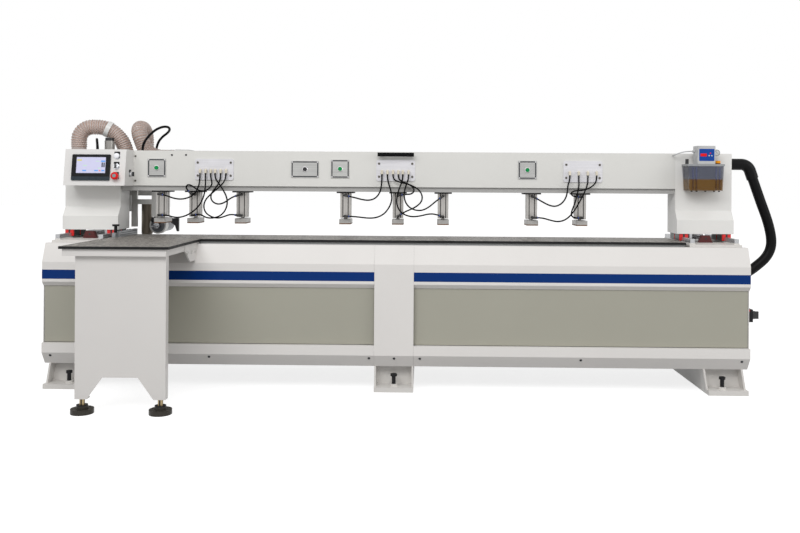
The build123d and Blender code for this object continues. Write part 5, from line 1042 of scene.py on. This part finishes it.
for z, half in ((oil_low_z, 0.0826), (oil_top_z, 0.0856)):
    corners = ((-half, oil_front_y), (half, oil_front_y), (half, oil_back_y), (-half, oil_back_y))
    oil_rings.append([oil.verts.new((tank_middle_x + x, y, z)) for x, y in corners])
close_stack(oil, oil_rings)
place_piece("tank_oil", oil, plastic("oil_amber", (114, 84, 8), 0.12, bump=0.0), "gantry")

# Conduit gland: a black moulded flange and elbow, fixed to the outside of the right column, from
# which the flexible conduit leaves.
dress("conduit_gland", plastic("gland_black", (9, 9, 10), 0.4, shine=0.12))

# Carriage: rails and a rack behind the beam, a painted plate on steel sliders, its drive motor,
# the dust manifold, and the air cylinder that balances the head.
dress("x_rails", metal("x_rail_steel", (192, 193, 195), 0.26, 0.92, grain=along_x))
dress("carriage_plate", paint("carriage_white", (206, 206, 204), 0.4))
dress("carriage_guides", metal("guide_steel", (120, 122, 124), 0.34, 0.8, grain=along_z))
dress("x_drive_motor", paint("motor_black", (28, 28, 31), 0.42, shine=0.2))
dress("x_pinion", metal("pinion_steel", (150, 150, 152), 0.32, 0.9, grain=along_y))
dress("dust_manifold", paint("dust_white", (212, 212, 210), 0.4))
cylinder_cap_z = 1.2955
balance_marks = [(*box_part("balance_cylinder", low_z=cylinder_cap_z), (26, 26, 28), 0.4, 0.0)]
balance_aluminium = metal(
    "balance_aluminium", (154, 151, 147), 0.3, 0.6, grain=along_z, marks=balance_marks
)
dress("balance_cylinder", balance_aluminium)

# Drilling head: a machined aluminium frame with a clamped spindle motor, an upright feed motor
# in a dark brown-grey case, and a black edge probe.
# The frame's pale colour is partly painted light: the aluminium is made lighter to stand in for the light
# that the beam's shadow keeps off it.
dress("head_frame", metal("head_aluminium", (206, 205, 202), 0.36, 0.45, grain=along_z))
dress("spindle_motor", metal("spindle_grey", (104, 106, 110), 0.34, 0.6, grain=along_y))
dress("feed_motor", metal("feed_case_brown", (124, 114, 100), 0.4, 0.3, grain=along_z))
dress("edge_probe", metal("probe_black", (44, 44, 47), 0.4, 0.4, grain=along_x))
dress("drill_spindle", metal("bit_steel", (176, 177, 180), 0.24, 0.95, grain=along_y))


# Screws: socket-head screws in black, grey and bright steel that hold the plates, the covers, the
# control box and the fence, and white painted bolts in the gusset of the extension.
def screw_tree():
    """A socket-head screw on every point, all facing one way."""
    tree, given = new_group(
        "socket_screws", "GeometryNodeTree", ("Places", "INPUT", "Geometry"),
        ("Head Radius", "INPUT", "Float", 0.006), ("Head Height", "INPUT", "Float", 0.003),
        ("Facing", "INPUT", "Vector", (0, -1, 0)),
        ("Finish", "INPUT", "Material"), ("Screws", "OUTPUT", "Geometry"),
    )
    radius, height = given["Head Radius"], given["Head Height"]
    share = partial(calculate, tree, "MULTIPLY")
    head = add_node(tree, "GeometryNodeMeshCone", {
        "Vertices": 20, "Radius Top": share(radius, 0.85), "Radius Bottom": radius, "Depth": height,
    })
    socket = {"Vertices": 6, "Radius": share(radius, 0.5), "Depth": height}
    hexagon = add_node(tree, "GeometryNodeMeshCylinder", socket)
    lift = add_node(tree, "ShaderNodeCombineXYZ", {"Z": share(height, 0.95)}).outputs[0]
    lifted = {"Geometry": hexagon.outputs["Mesh"], "Translation": lift}
    raised = add_node(tree, "GeometryNodeTransform", lifted)
    solids = {"Mesh 1": head.outputs["Mesh"], "Mesh 2": raised.outputs[0]}
    cut = add_node(tree, "GeometryNodeMeshBoolean", solids, operation="DIFFERENCE")
    turn = add_node(tree, "FunctionNodeAlignRotationToVector", {"Vector": given["Facing"]}, axis="Z")
    spread = add_node(tree, "GeometryNodeInstanceOnPoints", {
        "Points": given["Places"], "Instance": cut.outputs["Mesh"], "Rotation": turn.outputs[0],
    })
    return close_tree(tree, spread, given, "Screws")


socket_screws = screw_tree()
black_bolt = metal("black_bolt_steel", (52, 52, 55), 0.42, 0.7, grain=along_z)


def add_screws(name, body, places, facing, radius, height, material=black_bolt):
    """One piece with a screw at each place."""
    mesh = bpy.data.meshes.new(name + "_places")
    mesh.from_pydata([Vector(place) for place in places], [], [])
    holder = put_in_scene(name + "_places", mesh)
    values = {"Head Radius": radius, "Head Height": height, "Facing": facing, "Finish": material}
    use_tree(holder, socket_screws, values)
    screws = plain_mesh(holder, name)
    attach(screws, body)


def four_corners(middle, half_width, half_height):
    """The corners of an upright rectangle about its middle."""
    signs = ((-1, -1), (-1, 1), (1, -1), (1, 1))
    return [middle + Vector((across * half_width, 0, up * half_height)) for across, up in signs]


screw_grey = metal("screw_grey", (104, 100, 94), 0.5, 0.3, shine=0.2)
manifold_front_y, manifold_z = -0.063, 1.1335
manifold_screws = []
for x in manifold_xs:
    middle = Vector((x, manifold_front_y, manifold_z))
    manifold_screws += four_corners(middle, half_width=0.09, half_height=0.0355)
add_screws("manifold_screws", "gantry", manifold_screws, to_front, 0.0065, 0.003, screw_grey)
screw_inset = 0.0045
plate_screws = []
for middle, width, height in button_plates:
    border_front = middle + to_front * border_depth
    plate_screws += four_corners(border_front, width / 2 - screw_inset, height / 2 - screw_inset)
add_screws("plate_screws", "gantry", plate_screws, to_front, 0.0034, 0.002, ring_chrome)
beam_front_y = -0.057
beam_screws = [(-1.225, beam_front_y, 1.209), (-1.148, beam_front_y, 1.210)]
add_screws("beam_screws", "gantry", beam_screws, to_front, 0.0055, 0.003)
box_screws = [(-1.425, beam_front_y, z) for z in (1.202, 1.068)]
add_screws("box_screws", "gantry", box_screws, to_front, 0.0055, 0.003, screw_grey)
skirt_facing = (0, -0.836, -0.548)
skirt_screws = [(x, -0.3402, 0.172) for x in (-1.759, -0.943, -0.126, 0.133, 0.949, 1.761)]
skirt_screws.append((0.002, -0.3422, 0.172))
add_screws("cover_screws", "base", skirt_screws, skirt_facing, 0.007, 0.0025)
gusset_bolts = [(-1.014, y, 0.715) for y in (-0.5, -0.425, -0.358)]
bolt_white = paint("nut_white", (206, 204, 200), 0.4)
add_screws("gusset_bolts", "base", gusset_bolts, to_right, 0.011, 0.006, bolt_white)
fence_screws = [(-1.467, y, 0.8) for y in (-0.16, -0.125, -0.09, -0.05, -0.015)]
add_screws("fence_screws", "base", fence_screws, to_top, 0.0045, 0.003)
